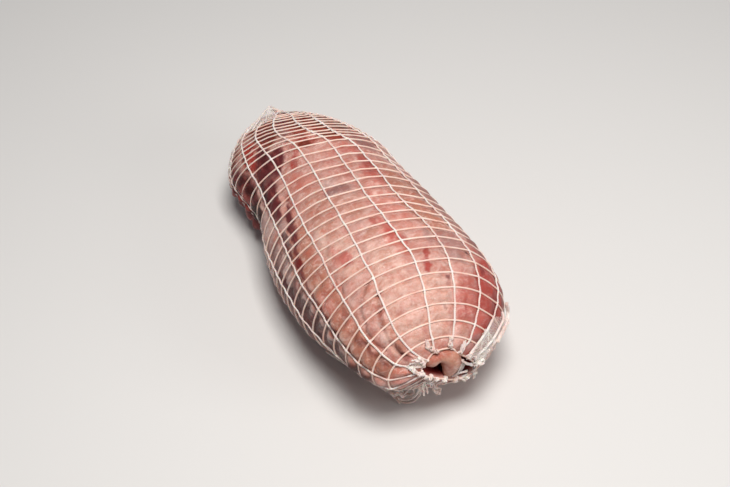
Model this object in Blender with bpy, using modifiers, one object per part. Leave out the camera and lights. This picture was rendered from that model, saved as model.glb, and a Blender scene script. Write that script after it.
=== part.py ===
# A raw, boned and rolled lamb roast in an elastic butcher's net.
# Metres, +Z up. The roll lies along X on its flattened underside. +X is the near end, where the
# rolled meat shows in the mouth of the net, and the net is gathered at the far end, -X.
# Two separate things touch here: the meat, one solid, and the net that holds it.

import math

import bmesh
import bpy
import numpy as np
from mathutils import Vector

COLLECTION = "rolled_lamb_roast"
GUIDES = "net_trimmings"

# The roll, measured over the net
HALF_WIDTH = 0.061
HALF_HEIGHT_SHARE = 0.78
UNDER_HEIGHT_SHARE = 0.86
NEAR_TIP_X = 0.1253
NEAR_CAP = 0.0654
NEAR_FULLNESS = 2.36
FAR_TIP_X = -0.1138
FAR_CAP = 0.0496
FAR_FULLNESS = 1.76
TAPER = 0.17
TAPER_START_X = 0.054
TAPER_LENGTH = 0.127
TAPER_MOST = 1.3

# Its middle line
MIDDLE_X = 0.037
HALF_LENGTH = 0.100
ALONG_MOST = 1.2
AXIS_HEIGHT = 0.0468
AXIS_DROP = 0.0080
NEAR_LIFT = 0.0005
FAR_LIFT = 0.0171
SIDE_OFFSET = 0.0010
SIDE_WAVE = 0.0011
SIDE_WAVE_X = 0.067
SIDE_WAVE_REACH = 0.032
NEAR_SWAY = -0.0085
FAR_SWAY = -0.0077
NEAR_BEND_X = 0.062
FAR_BEND_X = -0.043
MOUTH_SWAY = 0.0025
MOUTH_SWAY_REACH = 0.008

# The mouth's edge is drawn in and up from the plain roll: angle round it, then metres along X, Y and Z
MOUTH_PULLS = (
    (-177, 0.0049, 0.0052, 0.0132),
    (-155, 0.0044, 0.0062, 0.0134),
    (-134, 0.0028, 0.0056, 0.0128),
    (-112, 0.0010, 0.0067, 0.0121),
    (-90, -0.0002, 0.0094, 0.0099),
    (-67, 0.0000, 0.0101, 0.0051),
    (-43, 0.0006, 0.0076, 0.0009),
    (-20, 0.0007, 0.0026, -0.0007),
    (2, -0.0007, -0.0014, 0.0013),
    (24, -0.0010, 0.0002, 0.0016),
    (46, -0.0006, -0.0013, 0.0013),
    (68, -0.0005, -0.0018, 0.0004),
    (91, -0.0007, 0.0015, -0.0017),
    (114, -0.0003, 0.0030, -0.0008),
    (136, 0.0013, 0.0041, 0.0024),
    (160, 0.0039, 0.0038, 0.0088),
)
MOUTH_PULL_REACH = 0.012

# How the net's rings lean on the roll: sideways, back at the mouth, and up at the gather
RING_SKEW_NEAR = 0.03
RING_SKEW_FAR = 0.205
RING_BOW = 0.325
RING_LEAN = 0.285
GATHER_LEAN = 0.44

# The net
STRANDS = 16
RING_SPACING = 0.0102
EVEN_RINGS = 21
CLOSE_GAPS = (0.0080, 0.0055, 0.0051, 0.0054, 0.0045, 0.0045, 0.0046, 0.0054, 0.0045)
MOUTH_HALF_WIDTH = 0.0236
FIRST_STRAND = math.radians(3.1)
STRAND_CROWDING = math.radians(1.7)
STRAND_DRIFT = math.radians(5.9)
DRIFT_SIDE = math.radians(-90)
DRIFT_REACH = math.radians(70)
STRAND_WIDTH = 0.0018
RING_WIDTH = 0.0012
THREAD = 0.0012
NECK_BACK = 0.0052

# The meat under the net: grooves below each thread, pillows between them
GROOVE_DEPTH = 0.0015
PILLOW = 0.24
SLACK_SIDE_PILLOW = 0.0045
SLACK_SIDE_X = -0.056
SLACK_SIDE_REACH = 0.018
SLACK_SIDE_ANGLE = math.radians(-110)
SLACK_SIDE_SPREAD = math.radians(32)

# The underside: net threads stay just off the board, and the pillows rest on it
NET_FLOOR = 0.0011
GROOVE_FLOOR = 0.0031
FLOOR_SOFTNESS = 0.002
PILLOW_PRESS = 0.0030
PRESSED_BELOW = 0.0045
BOARD = (0.40, 0.20, 0.02)

# Lobes and hollows of the muscles: x, angle, reach along x, reach round the roll, height
LOBES = (
    (0.014, -108, 0.028, 28, 0.0036),
    (0.108, -130, 0.036, 50, -0.0240),
    (-0.030, -104, 0.016, 30, -0.0038),
    (-0.070, -108, 0.020, 34, 0.0055),
    (0.072, 70, 0.040, 25, -0.0013),
    (-0.058, 60, 0.035, 30, -0.0037),
    (0.096, 92, 0.024, 24, 0.0018),
)

# The mouth: the pocket inside the first ring, and the end of the rolled flap in it
POCKET_DEPTHS = (0.003, 0.010, 0.017)
POCKET_SHARES = (0.84, 0.68, 0.52)
FLAP_ROUTE = (
    (0.1000, -0.0080, 0.0540),
    (0.1080, -0.0088, 0.0565),
    (0.1136, -0.0080, 0.0585),
    (0.1160, -0.0050, 0.0594),
    (0.1165, -0.0012, 0.0602),
    (0.1170, 0.0028, 0.0598),
    (0.1174, 0.0058, 0.0565),
    (0.1177, 0.0062, 0.0520),
    (0.1179, 0.0054, 0.0473),
    (0.1181, 0.0044, 0.0432),
    (0.1160, 0.0036, 0.0390),
)
FLAP_RADII = (0.0030, 0.0040, 0.0045, 0.0048, 0.0044, 0.0048, 0.0058, 0.0060, 0.0047, 0.0031, 0.0016)
FLAP_SIDES = 8

# Loose ends of the net
KNOT_RADIUS = 0.0019
KNOT_STANDOFF = 0.0012
GATHER_RADIUS = 0.0085
GATHER_THICKNESS = 0.0035
GATHER_STANDOFF = 0.0022
TAIL_LENGTH = 0.0105
TAIL_ROOT_RADIUS = 0.0055
TAIL_TIP_RADIUS = 0.0012
TAIL_WAY = (-0.958, -0.282, 0.056)
GATHER_SIDES = 12
GATHER_BANDS = 6
TAIL_SIDES = 8
LOOSE_THREAD = 0.0008
LOOSE_THREAD_SIDES = 4
# Each slack loop leaves a strand at a station, hangs and comes back to the mouth at another strand
SLACK_LOOPS = (
    (12, 0.014, ((0.1110, -0.0305, 0.0360), (0.1090, -0.0250, 0.0270), (0.1070, -0.0225, 0.0160),
                 (0.1062, -0.0180, 0.0085), (0.1070, -0.0140, 0.0062), (0.1082, -0.0110, 0.0085),
                 (0.1110, -0.0090, 0.0165), (0.1160, -0.0095, 0.0260), (0.1215, -0.0085, 0.0370),
                 (0.1240, -0.0065, 0.0440)), 9),
    (11, 0.006, ((0.1195, -0.0225, 0.0330), (0.1130, -0.0195, 0.0200), (0.1085, -0.0170, 0.0125),
                 (0.1072, -0.0130, 0.0100), (0.1105, -0.0108, 0.0165), (0.1165, -0.0125, 0.0270),
                 (0.1222, -0.0125, 0.0400), (0.1240, -0.0115, 0.0480)), 10),
)

SAMPLES = 300
NUDGE = 0.0001


def smooth_step(low, high, value):
    """0 below low, 1 above high, with an even bend between."""
    share = min(max((value - low) / (high - low), 0.0), 1.0)
    return share * share * (3 - 2 * share)


def half_width(x):
    """Half the roll's width where its middle line is at x."""
    taper = 1 - TAPER * min(max((TAPER_START_X - x) / TAPER_LENGTH, 0.0), TAPER_MOST)
    near = min(max((x - NEAR_TIP_X + NEAR_CAP) / NEAR_CAP, 0.0), 1.0)
    far = min(max((FAR_TIP_X + FAR_CAP - x) / FAR_CAP, 0.0), 1.0)
    near_round = (1 - near ** NEAR_FULLNESS) ** (1 / NEAR_FULLNESS)
    far_round = (1 - far ** FAR_FULLNESS) ** (1 / FAR_FULLNESS)
    return HALF_WIDTH * taper * near_round * far_round


def walk_outline():
    """Stations along the roll's side from the mouth to the far tip, with x and half width at each."""
    quarter = [math.pi / 2 * i / SAMPLES for i in range(SAMPLES + 1)]
    near = [NEAR_TIP_X - NEAR_CAP * (1 - math.cos(a)) for a in quarter]
    straight = np.linspace(NEAR_TIP_X - NEAR_CAP, FAR_TIP_X + FAR_CAP, SAMPLES)[1:]
    far = [FAR_TIP_X + FAR_CAP * (1 - math.sin(a)) for a in quarter[1:]]
    xs = np.array(near + list(straight) + far)
    widths = np.array([half_width(x) for x in xs])
    steps = np.hypot(np.diff(xs), np.diff(widths))
    stations = np.concatenate([[0.0], np.cumsum(steps)])
    mouth = np.interp(MOUTH_HALF_WIDTH, widths[:SAMPLES], stations[:SAMPLES])
    return stations - mouth, xs, widths


STATIONS, OUTLINE_X, OUTLINE_WIDTH = walk_outline()
FAR_STATION = float(STATIONS[-1])


def raised(value, floor):
    """The value, eased up so that it never falls under the floor."""
    over = value - floor
    return floor + (over + math.sqrt(over * over + FLOOR_SOFTNESS ** 2)) / 2


def lobes(x, angle):
    """Height of the muscles' lobes above the plain roll."""
    height = 0.0
    for lobe_x, lobe_angle, reach, spread, rise in LOBES:
        turn = (math.degrees(angle) - lobe_angle + 180) % 360 - 180
        height += rise * math.exp(-((x - lobe_x) / reach) ** 2 - (turn / spread) ** 2)
    return height


def mouth_pull(station, angle):
    """How far the roll's skin is drawn towards the mouth there."""
    share = min(max(1 - station / MOUTH_PULL_REACH, 0.0), 1.0)
    angles, *pulls = zip(*MOUTH_PULLS)
    degrees = math.degrees(angle)
    return Vector([float(np.interp(degrees, angles, pull, period=360)) for pull in pulls]) * share * share


def roll_point(station, angle):
    """A point on the roll, over the net, that far from the mouth and that far round from the top."""
    x = float(np.interp(station, STATIONS, OUTLINE_X))
    width = float(np.interp(station, STATIONS, OUTLINE_WIDTH))
    along = min(max((MIDDLE_X - x) / HALF_LENGTH, -1.0), ALONG_MOST)
    near = smooth_step(NEAR_BEND_X, NEAR_TIP_X, x)
    far = smooth_step(-FAR_BEND_X, -FAR_TIP_X, -x)
    axis_z = AXIS_HEIGHT - AXIS_DROP * max(along, 0.0) + NEAR_LIFT * near + FAR_LIFT * far
    axis_y = SIDE_OFFSET + SIDE_WAVE * math.sin((x - SIDE_WAVE_X) / SIDE_WAVE_REACH)
    axis_y += NEAR_SWAY * near + FAR_SWAY * far
    axis_y += MOUTH_SWAY * math.exp(-max(station, 0.0) / MOUTH_SWAY_REACH)
    skew = (RING_SKEW_NEAR + RING_SKEW_FAR) / 2 + (RING_SKEW_FAR - RING_SKEW_NEAR) / 2 * along
    side = width * math.sin(angle)
    top = width * HALF_HEIGHT_SHARE * math.cos(angle)
    height_share = HALF_HEIGHT_SHARE if math.cos(angle) > 0 else UNDER_HEIGHT_SHARE
    up = width * height_share * math.cos(angle)
    bow = RING_BOW * max(-along, 0.0) * top * math.cos(angle)
    lean = (RING_LEAN * max(along, 0.0) + GATHER_LEAN * far) * top
    rise = lobes(x, angle) * width / HALF_WIDTH
    return Vector((x + skew * side - bow + lean, axis_y + side + rise * math.sin(angle),
                   axis_z + up + rise * math.cos(angle))) + mouth_pull(station, angle)


def outward(station, angle):
    """The roll's outward direction there."""
    along = roll_point(station + NUDGE, angle) - roll_point(station - NUDGE, angle)
    turn = NUDGE / HALF_WIDTH
    across = roll_point(station, angle + turn) - roll_point(station, angle - turn)
    return across.cross(along).normalized()


def layer_point(station, angle, out, floor):
    """A point that far outside the roll, kept above the floor height."""
    point = roll_point(station, angle) + outward(station, angle) * out
    return Vector((point.x, point.y, raised(point.z, floor)))


def strand_angle(number, station):
    """How far round the roll a strand runs; half numbers lie midway between two strands."""
    plain = FIRST_STRAND + math.tau * number / STRANDS
    angle = plain - STRAND_CROWDING * math.sin(plain)
    x = float(np.interp(station, STATIONS, OUTLINE_X))
    along = min(max((MIDDLE_X - x) / HALF_LENGTH, -1.0), ALONG_MOST)
    turn = (angle - DRIFT_SIDE + math.pi) % math.tau - math.pi
    return angle + STRAND_DRIFT * along * math.exp(-(turn / DRIFT_REACH) ** 2)


def ring_stations():
    """Where the net's rings lie along the roll: evenly, then closer together where the net is drawn in."""
    even = [ring * RING_SPACING for ring in range(EVEN_RINGS)]
    return even + [even[-1] + sum(CLOSE_GAPS[:ring + 1]) for ring in range(len(CLOSE_GAPS))]


def principled(name, colour, roughness):
    """A plain material for one sub-part."""
    material = bpy.data.materials.new(name)
    material.use_nodes = True
    shader = material.node_tree.nodes["Principled BSDF"]
    shader.inputs["Base Color"].default_value = (*colour, 1.0)
    shader.inputs["Roughness"].default_value = roughness
    return material


def add_object(name, bm, collection, material=None):
    """A mesh object made from a bmesh, with its faces pointing out."""
    bmesh.ops.recalc_face_normals(bm, faces=bm.faces)
    mesh = bpy.data.meshes.new(name)
    bm.to_mesh(mesh)
    bm.free()
    obj = bpy.data.objects.new(name, mesh)
    collection.objects.link(obj)
    if material:
        mesh.materials.append(material)
    return obj


def add_guide(name, bm, guides):
    """A shape that is fused onto another piece, and isn't a piece itself."""
    obj = add_object(name, bm, guides)
    obj.hide_render = True
    obj.display_type = "WIRE"
    return obj


def apply_modifiers(obj):
    """Swap an object's mesh for what its modifiers make of it."""
    graph = bpy.context.evaluated_depsgraph_get()
    finished = bpy.data.meshes.new_from_object(obj.evaluated_get(graph))
    obj.modifiers.clear()
    obj.data = finished


def fuse(obj, others, operation="UNION"):
    """Join a collection's shapes onto an object with one Boolean, or cut them from it."""
    boolean = obj.modifiers.new("fuse", "BOOLEAN")
    boolean.operation = operation
    boolean.operand_type = "COLLECTION"
    boolean.collection = others
    boolean.solver = "EXACT"
    apply_modifiers(obj)
    for other in list(others.objects):
        bpy.data.objects.remove(other)


def bridge_rows(bm, rows, keep=None):
    """Faces between neighbouring closed rows of points; keep says which of them there are."""
    faces = []
    for row in range(len(rows) - 1):
        count = len(rows[row])
        for column in range(count):
            if keep and not keep(row, column):
                continue
            after = (column + 1) % count
            corners = (rows[row][column], rows[row][after], rows[row + 1][after], rows[row + 1][column])
            faces.append(bm.faces.new(corners))
    return faces


def tube_along(route, radii, sides):
    """A closed, round-sectioned tube through the route's points, as wide as the radii say."""
    bm = bmesh.new()
    points = [Vector(p) for p in route]
    rows = []
    side = Vector((1, 0, 0))
    for i, (point, radius) in enumerate(zip(points, radii)):
        ahead = (points[min(i + 1, len(points) - 1)] - points[max(i - 1, 0)]).normalized()
        side = (side - ahead * side.dot(ahead)).normalized()
        across = ahead.cross(side)
        row = []
        for step in range(sides):
            turn = math.tau * step / sides
            row.append(bm.verts.new(point + (side * math.cos(turn) + across * math.sin(turn)) * radius))
        rows.append(row)
    bridge_rows(bm, rows)
    bm.faces.new(rows[0])
    bm.faces.new(rows[-1])
    return bm


def make_meat(collection, guides):
    """The rolled meat: one solid, grooved under each thread and swollen between them."""
    bm = bmesh.new()
    below = -GROOVE_DEPTH
    rows = []
    mouth = [layer_point(0.0, strand_angle(n, 0.0), below, GROOVE_FLOOR) for n in range(STRANDS)]
    centre = sum(mouth, Vector()) / STRANDS
    for depth, share in zip(reversed(POCKET_DEPTHS), reversed(POCKET_SHARES)):
        inner = [centre + (p - centre) * share - Vector((depth, 0, 0)) for p in mouth]
        rows.append([bm.verts.new(p) for p in inner])
    pocket_rows = len(rows)
    stations = ring_stations() + [FAR_STATION - NECK_BACK]
    for station in stations:
        angles = [strand_angle(n, station) for n in range(STRANDS)]
        rows.append([bm.verts.new(layer_point(station, a, below, GROOVE_FLOOR)) for a in angles])
    bm.faces.new(rows[0])
    bm.faces.new(rows[-1])
    bridge_rows(bm, rows[:pocket_rows + 1])
    cells = bridge_rows(bm, rows[pocket_rows:])
    bmesh.ops.recalc_face_normals(bm, faces=bm.faces)
    swell_cells(bm, cells[:-STRANDS])
    meat = add_object("meat", bm, collection, principled("raw lamb", (0.56, 0.27, 0.22), 0.35))
    add_guide("rolled_flap", tube_along(FLAP_ROUTE, FLAP_RADII, FLAP_SIDES), guides)
    fuse(meat, guides)
    rest_on_board(meat, guides)
    return meat


def swell_cells(bm, cells):
    """Push the middle of each net cell outwards, and press the lowest ones down past the board."""
    poked = bmesh.ops.poke(bm, faces=cells, offset=PILLOW, center_mode="MEAN", use_relative_offset=True)
    for vert in poked["verts"]:
        turn = math.atan2(vert.co.y, vert.co.z - AXIS_HEIGHT)
        along = (vert.co.x - SLACK_SIDE_X) / SLACK_SIDE_REACH
        round_roll = (turn - SLACK_SIDE_ANGLE) / SLACK_SIDE_SPREAD
        slack = math.exp(-along * along - round_roll * round_roll)
        outwards = Vector((0, math.sin(turn), math.cos(turn)))
        vert.co += outwards * SLACK_SIDE_PILLOW * slack
        neighbours = [edge.other_vert(vert).co.z for edge in vert.link_edges]
        if max(neighbours) < PRESSED_BELOW:
            vert.co.z = -PILLOW_PRESS


def rest_on_board(meat, guides):
    """Flatten what would reach through the board that the roast lies on."""
    bm = bmesh.new()
    bmesh.ops.create_cube(bm, size=1.0)
    bmesh.ops.scale(bm, vec=BOARD, verts=bm.verts)
    bmesh.ops.translate(bm, vec=(0, 0, -BOARD[2] / 2), verts=bm.verts)
    add_guide("board", bm, guides)
    fuse(meat, guides, "DIFFERENCE")


def make_net(collection, guides):
    """The net: a lattice of strands and rings, one thread thick, with its knots and loose ends."""
    bm = bmesh.new()
    stations = []
    for ring in ring_stations():
        stations += [ring - RING_WIDTH / 2, ring + RING_WIDTH / 2]
    ring_rows = len(stations)
    stations.append(FAR_STATION - NECK_BACK)
    rows = [[bm.verts.new(p) for p in net_row(station)] for station in stations]

    def is_thread(row, column):
        on_ring = row % 2 == 0 and row < ring_rows
        on_strand = column % 2 == 0
        return on_ring or on_strand

    bridge_rows(bm, rows, is_thread)
    net = add_object("net", bm, collection, principled("elastic netting", (0.82, 0.76, 0.72), 0.75))
    wall = net.modifiers.new("thread", "SOLIDIFY")
    wall.thickness = THREAD
    wall.offset = 0.0
    apply_modifiers(net)
    add_loose_ends(guides)
    fuse(net, guides)
    return net


def net_row(station):
    """The two edges of every strand, where they cross one edge of a ring."""
    points = []
    for number in range(STRANDS):
        angle = strand_angle(number, station)
        turn = NUDGE / HALF_WIDTH
        arc = (roll_point(station, angle + turn) - roll_point(station, angle - turn)).length / (2 * turn)
        half = STRAND_WIDTH / 2 / arc
        for edge in (angle - half, angle + half):
            points.append(layer_point(station, edge, 0.0, NET_FLOOR))
    return points


def add_loose_ends(guides):
    """Knots round the mouth, slack loops under it, and the gathered far end with its tail."""
    for number in range(STRANDS):
        angle = strand_angle(number, 0.0)
        knot = bmesh.new()
        bmesh.ops.create_icosphere(knot, subdivisions=1, radius=KNOT_RADIUS)
        place = layer_point(-RING_WIDTH / 4, angle, KNOT_STANDOFF, NET_FLOOR + KNOT_RADIUS)
        bmesh.ops.translate(knot, vec=place, verts=knot.verts)
        add_guide("knot", knot, guides)
    for first, station, hanging, last in SLACK_LOOPS:
        start = layer_point(station, strand_angle(first, station), 0.0, NET_FLOOR)
        end = layer_point(0.0, strand_angle(last, 0.0), 0.0, NET_FLOOR)
        route = [start, *hanging, end]
        radii = [LOOSE_THREAD] * len(route)
        add_guide("slack_loop", tube_along(route, radii, LOOSE_THREAD_SIDES), guides)
    inside_neck = FAR_STATION - NECK_BACK / 2
    pole = (roll_point(inside_neck, 0.0) + roll_point(inside_neck, math.pi)) / 2
    around = [outward(FAR_STATION - NECK_BACK, strand_angle(n, FAR_STATION)) for n in range(STRANDS)]
    away = sum(around, Vector()).normalized()
    turned = Vector((0, 0, 1)).rotation_difference(away).to_matrix()
    gather = bmesh.new()
    bmesh.ops.create_uvsphere(gather, u_segments=GATHER_SIDES, v_segments=GATHER_BANDS, radius=GATHER_RADIUS)
    bmesh.ops.scale(gather, vec=(1, 1, GATHER_THICKNESS / GATHER_RADIUS), verts=gather.verts)
    bmesh.ops.rotate(gather, matrix=turned, verts=gather.verts)
    bmesh.ops.translate(gather, vec=pole + away * GATHER_STANDOFF, verts=gather.verts)
    add_guide("gather", gather, guides)
    tail = bmesh.new()
    bmesh.ops.create_cone(tail, cap_ends=True, segments=TAIL_SIDES, radius1=TAIL_ROOT_RADIUS,
                          radius2=TAIL_TIP_RADIUS, depth=TAIL_LENGTH)
    tail_way = Vector(TAIL_WAY).normalized()
    bmesh.ops.rotate(tail, matrix=Vector((0, 0, 1)).rotation_difference(tail_way).to_matrix(), verts=tail.verts)
    bmesh.ops.translate(tail, vec=pole + away * GATHER_STANDOFF + tail_way * TAIL_LENGTH / 2, verts=tail.verts)
    add_guide("tail", tail, guides)


def build():
    """Clear the scene, then make the roast."""
    for obj in list(bpy.data.objects):
        bpy.data.objects.remove(obj)
    collection = bpy.data.collections.new(COLLECTION)
    guides = bpy.data.collections.new(GUIDES)
    bpy.context.scene.collection.children.link(collection)
    bpy.context.scene.collection.children.link(guides)
    make_meat(collection, guides)
    make_net(collection, guides)


build()
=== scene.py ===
import math

import bmesh
import bpy
import numpy as np
from mathutils import Matrix, Vector, noise


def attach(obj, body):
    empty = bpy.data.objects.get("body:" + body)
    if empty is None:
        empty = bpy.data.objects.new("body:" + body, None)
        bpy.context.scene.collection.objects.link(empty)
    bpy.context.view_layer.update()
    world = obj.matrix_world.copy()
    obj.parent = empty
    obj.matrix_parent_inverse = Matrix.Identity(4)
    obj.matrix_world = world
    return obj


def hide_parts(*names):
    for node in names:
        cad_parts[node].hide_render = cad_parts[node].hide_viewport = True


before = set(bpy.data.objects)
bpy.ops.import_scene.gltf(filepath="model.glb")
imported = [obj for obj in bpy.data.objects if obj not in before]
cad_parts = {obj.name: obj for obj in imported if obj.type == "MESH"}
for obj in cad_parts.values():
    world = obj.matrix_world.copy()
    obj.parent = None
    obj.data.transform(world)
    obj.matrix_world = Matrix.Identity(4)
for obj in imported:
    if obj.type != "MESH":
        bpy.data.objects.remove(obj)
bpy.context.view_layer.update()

# The roll of meat
# Boned lamb is spread, rolled up and pushed into a sleeve of elastic net, which draws it into a long
# round roll. It settles flat where it lies. Stations are metres along its side from the net's mouth,
# and angles go round from its top, towards +Y.
HALF_WIDTH = 0.061
HALF_HEIGHT_SHARE = 0.78
UNDER_HEIGHT_SHARE = 0.86
NEAR_TIP_X = 0.1253
NEAR_CAP = 0.0654
NEAR_FULLNESS = 2.36
FAR_TIP_X = -0.1138
FAR_CAP = 0.0496
FAR_FULLNESS = 1.76
TAPER = 0.17
TAPER_START_X = 0.054
TAPER_LENGTH = 0.127
TAPER_MOST = 1.3
MIDDLE_X = 0.037
HALF_LENGTH = 0.100
ALONG_MOST = 1.2
AXIS_HEIGHT = 0.0468
AXIS_DROP = 0.0080
NEAR_LIFT = 0.0005
FAR_LIFT = 0.0171
SIDE_OFFSET = 0.0010
SIDE_WAVE = 0.0011
SIDE_WAVE_X = 0.067
SIDE_WAVE_REACH = 0.032
NEAR_SWAY = -0.0085
FAR_SWAY = -0.0077
NEAR_BEND_X = 0.062
FAR_BEND_X = -0.043
MOUTH_SWAY = 0.0025
MOUTH_SWAY_REACH = 0.008
RING_SKEW_NEAR = 0.03
RING_SKEW_FAR = 0.205
RING_BOW = 0.325
RING_LEAN = 0.285
GATHER_LEAN = 0.44
MOUTH_HALF_WIDTH = 0.0236
FLOOR_SOFTNESS = 0.002
SAMPLES = 300
NUDGE = 0.0001
# The mouth's edge is drawn in and up from the plain roll: angle round it, then metres along X, Y and Z
MOUTH_PULLS = (
    (-177, 0.0049, 0.0052, 0.0132), (-155, 0.0044, 0.0062, 0.0134), (-134, 0.0028, 0.0056, 0.0128),
    (-112, 0.0010, 0.0067, 0.0121), (-90, -0.0002, 0.0094, 0.0099), (-67, 0.0000, 0.0101, 0.0051),
    (-43, 0.0006, 0.0076, 0.0009), (-20, 0.0007, 0.0026, -0.0007), (2, -0.0007, -0.0014, 0.0013),
    (24, -0.0010, 0.0002, 0.0016), (34, -0.0012, -0.0016, 0.0014), (47, -0.0018, -0.0042, 0.0006),
    (68, -0.0005, -0.0018, 0.0004), (91, -0.0007, 0.0015, -0.0017), (114, -0.0003, 0.0030, -0.0008),
    (136, 0.0013, 0.0041, 0.0024), (160, 0.0039, 0.0038, 0.0088),
)
MOUTH_PULL_REACH = 0.012
# Lobes and hollows of the muscles: x, angle, reach along x, reach round the roll, height
LOBES = (
    (0.014, -108, 0.028, 28, 0.0036), (0.108, -130, 0.036, 50, -0.0240), (-0.030, -104, 0.016, 30, -0.0038),
    (-0.070, -108, 0.020, 34, 0.0055), (0.072, 70, 0.040, 25, -0.0013), (-0.058, 60, 0.035, 30, -0.0037),
    (0.096, 92, 0.024, 24, 0.0018),
)


def smooth_step(low, high, value):
    """0 below low, 1 above high, with an even bend between."""
    share = np.clip((value - low) / (high - low), 0.0, 1.0)
    return share * share * (3 - 2 * share)


def unit(vectors):
    """The same directions, each of length one."""
    return vectors / np.maximum(np.linalg.norm(vectors, axis=-1, keepdims=True), 1e-12)


def turn_from(angle, degrees):
    """How far round the roll each place lies from an angle, from -180 to 180 degrees."""
    return (degrees - angle + 180) % 360 - 180


def mound(at, degrees, middle, angle, reach, spread):
    """The height of a smooth mound on the roll's side, 1 at its middle."""
    return np.exp(-((at - middle) / reach) ** 2 - (turn_from(angle, degrees) / spread) ** 2)


def walk_outline():
    """Stations along the roll's side from the mouth to the far tip, with x and half width at each."""
    quarter = np.linspace(0.0, math.pi / 2, SAMPLES + 1)
    near = NEAR_TIP_X - NEAR_CAP * (1 - np.cos(quarter))
    straight = np.linspace(NEAR_TIP_X - NEAR_CAP, FAR_TIP_X + FAR_CAP, SAMPLES)[1:]
    far = FAR_TIP_X + FAR_CAP * (1 - np.sin(quarter[1:]))
    xs = np.concatenate([near, straight, far])
    taper = 1 - TAPER * np.clip((TAPER_START_X - xs) / TAPER_LENGTH, 0.0, TAPER_MOST)
    near_share = np.clip((xs - NEAR_TIP_X + NEAR_CAP) / NEAR_CAP, 0.0, 1.0)
    far_share = np.clip((FAR_TIP_X + FAR_CAP - xs) / FAR_CAP, 0.0, 1.0)
    near_round = (1 - near_share ** NEAR_FULLNESS) ** (1 / NEAR_FULLNESS)
    far_round = (1 - far_share ** FAR_FULLNESS) ** (1 / FAR_FULLNESS)
    widths = HALF_WIDTH * taper * near_round * far_round
    steps = np.hypot(np.diff(xs), np.diff(widths))
    stations = np.concatenate([[0.0], np.cumsum(steps)])
    mouth = np.interp(MOUTH_HALF_WIDTH, widths[:SAMPLES], stations[:SAMPLES])
    return stations - mouth, xs, widths


STATIONS, OUTLINE_X, OUTLINE_WIDTH = walk_outline()
FAR_STATION = float(STATIONS[-1])


def raised(value, floor):
    """The value, eased up so that it never falls under the floor."""
    over = value - floor
    return floor + (over + np.sqrt(over * over + FLOOR_SOFTNESS ** 2)) / 2


def share_along(x):
    """-1 near the mouth, 0 at the roll's middle and just over 1 at the far tip."""
    return np.clip((MIDDLE_X - x) / HALF_LENGTH, -1.0, ALONG_MOST)


def mouth_pull(station, angle):
    """How far the roll's skin is drawn towards the mouth at each place."""
    share = np.clip(1 - station / MOUTH_PULL_REACH, 0.0, 1.0) ** 2
    angles, *pulls = zip(*MOUTH_PULLS)
    degrees = np.degrees(angle)
    return np.stack([np.interp(degrees, angles, pull, period=360) * share for pull in pulls], axis=-1)


def roll_points(station, angle):
    """Points on the roll, over the net's threads."""
    x = np.interp(station, STATIONS, OUTLINE_X)
    width = np.interp(station, STATIONS, OUTLINE_WIDTH)
    along = share_along(x)
    near = smooth_step(NEAR_BEND_X, NEAR_TIP_X, x)
    far = smooth_step(-FAR_BEND_X, -FAR_TIP_X, -x)
    axis_z = AXIS_HEIGHT - AXIS_DROP * np.maximum(along, 0.0) + NEAR_LIFT * near + FAR_LIFT * far
    axis_y = SIDE_OFFSET + SIDE_WAVE * np.sin((x - SIDE_WAVE_X) / SIDE_WAVE_REACH)
    axis_y = axis_y + NEAR_SWAY * near + FAR_SWAY * far
    axis_y = axis_y + MOUTH_SWAY * np.exp(-np.maximum(station, 0.0) / MOUTH_SWAY_REACH)
    skew = (RING_SKEW_NEAR + RING_SKEW_FAR) / 2 + (RING_SKEW_FAR - RING_SKEW_NEAR) / 2 * along
    side = width * np.sin(angle)
    top = width * HALF_HEIGHT_SHARE * np.cos(angle)
    up = width * np.where(np.cos(angle) > 0, HALF_HEIGHT_SHARE, UNDER_HEIGHT_SHARE) * np.cos(angle)
    bow = RING_BOW * np.maximum(-along, 0.0) * top * np.cos(angle)
    lean = (RING_LEAN * np.maximum(along, 0.0) + GATHER_LEAN * far) * top
    rise = sum(height * mound(x, np.degrees(angle), *where) for *where, height in LOBES) * width / HALF_WIDTH
    plain = np.stack([x + skew * side - bow + lean, axis_y + side + rise * np.sin(angle),
                      axis_z + up + rise * np.cos(angle)], axis=-1)
    return plain + mouth_pull(station, angle)


def outward(station, angle):
    """The roll's outward direction at each point."""
    along = roll_points(station + NUDGE, angle) - roll_points(station - NUDGE, angle)
    turn = NUDGE / HALF_WIDTH
    across = roll_points(station, angle + turn) - roll_points(station, angle - turn)
    return unit(np.cross(across, along))


def layer_points(station, angle, out, floor):
    """Points that far outside the roll, kept above the floor height."""
    points = roll_points(station, angle) + outward(station, angle) * np.asarray(out)[..., None]
    points[..., 2] = raised(points[..., 2], floor)
    return points


# Where the net's threads run
# The sleeve is knitted as 16 strands along it, with an elastic thread wound round through them about
# every 10 mm. Pulled over the meat, the strands wander and the rings lean back over the slack side.
STRANDS = 16
RING_SPACING = 0.0102
EVEN_RINGS = 21
# The gaps between the last rings, in millimetres, where the net is drawn in
CLOSE_GAPS = (8.0, 5.5, 5.1, 5.4, 4.5, 4.5, 4.6, 5.4, 4.5, 4.5, 4.2)
RING_STATIONS = np.concatenate([np.arange(EVEN_RINGS) * RING_SPACING,
                                (EVEN_RINGS - 1) * RING_SPACING + np.cumsum(CLOSE_GAPS) * 0.001, [FAR_STATION]])
RINGS = len(RING_STATIONS) - 1
FIRST_STRAND = math.radians(3.1)
STRAND_CROWDING = math.radians(1.7)
STRAND_DRIFT = math.radians(5.9)
DRIFT_SIDE = math.radians(-90)
DRIFT_REACH = math.radians(70)
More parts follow.
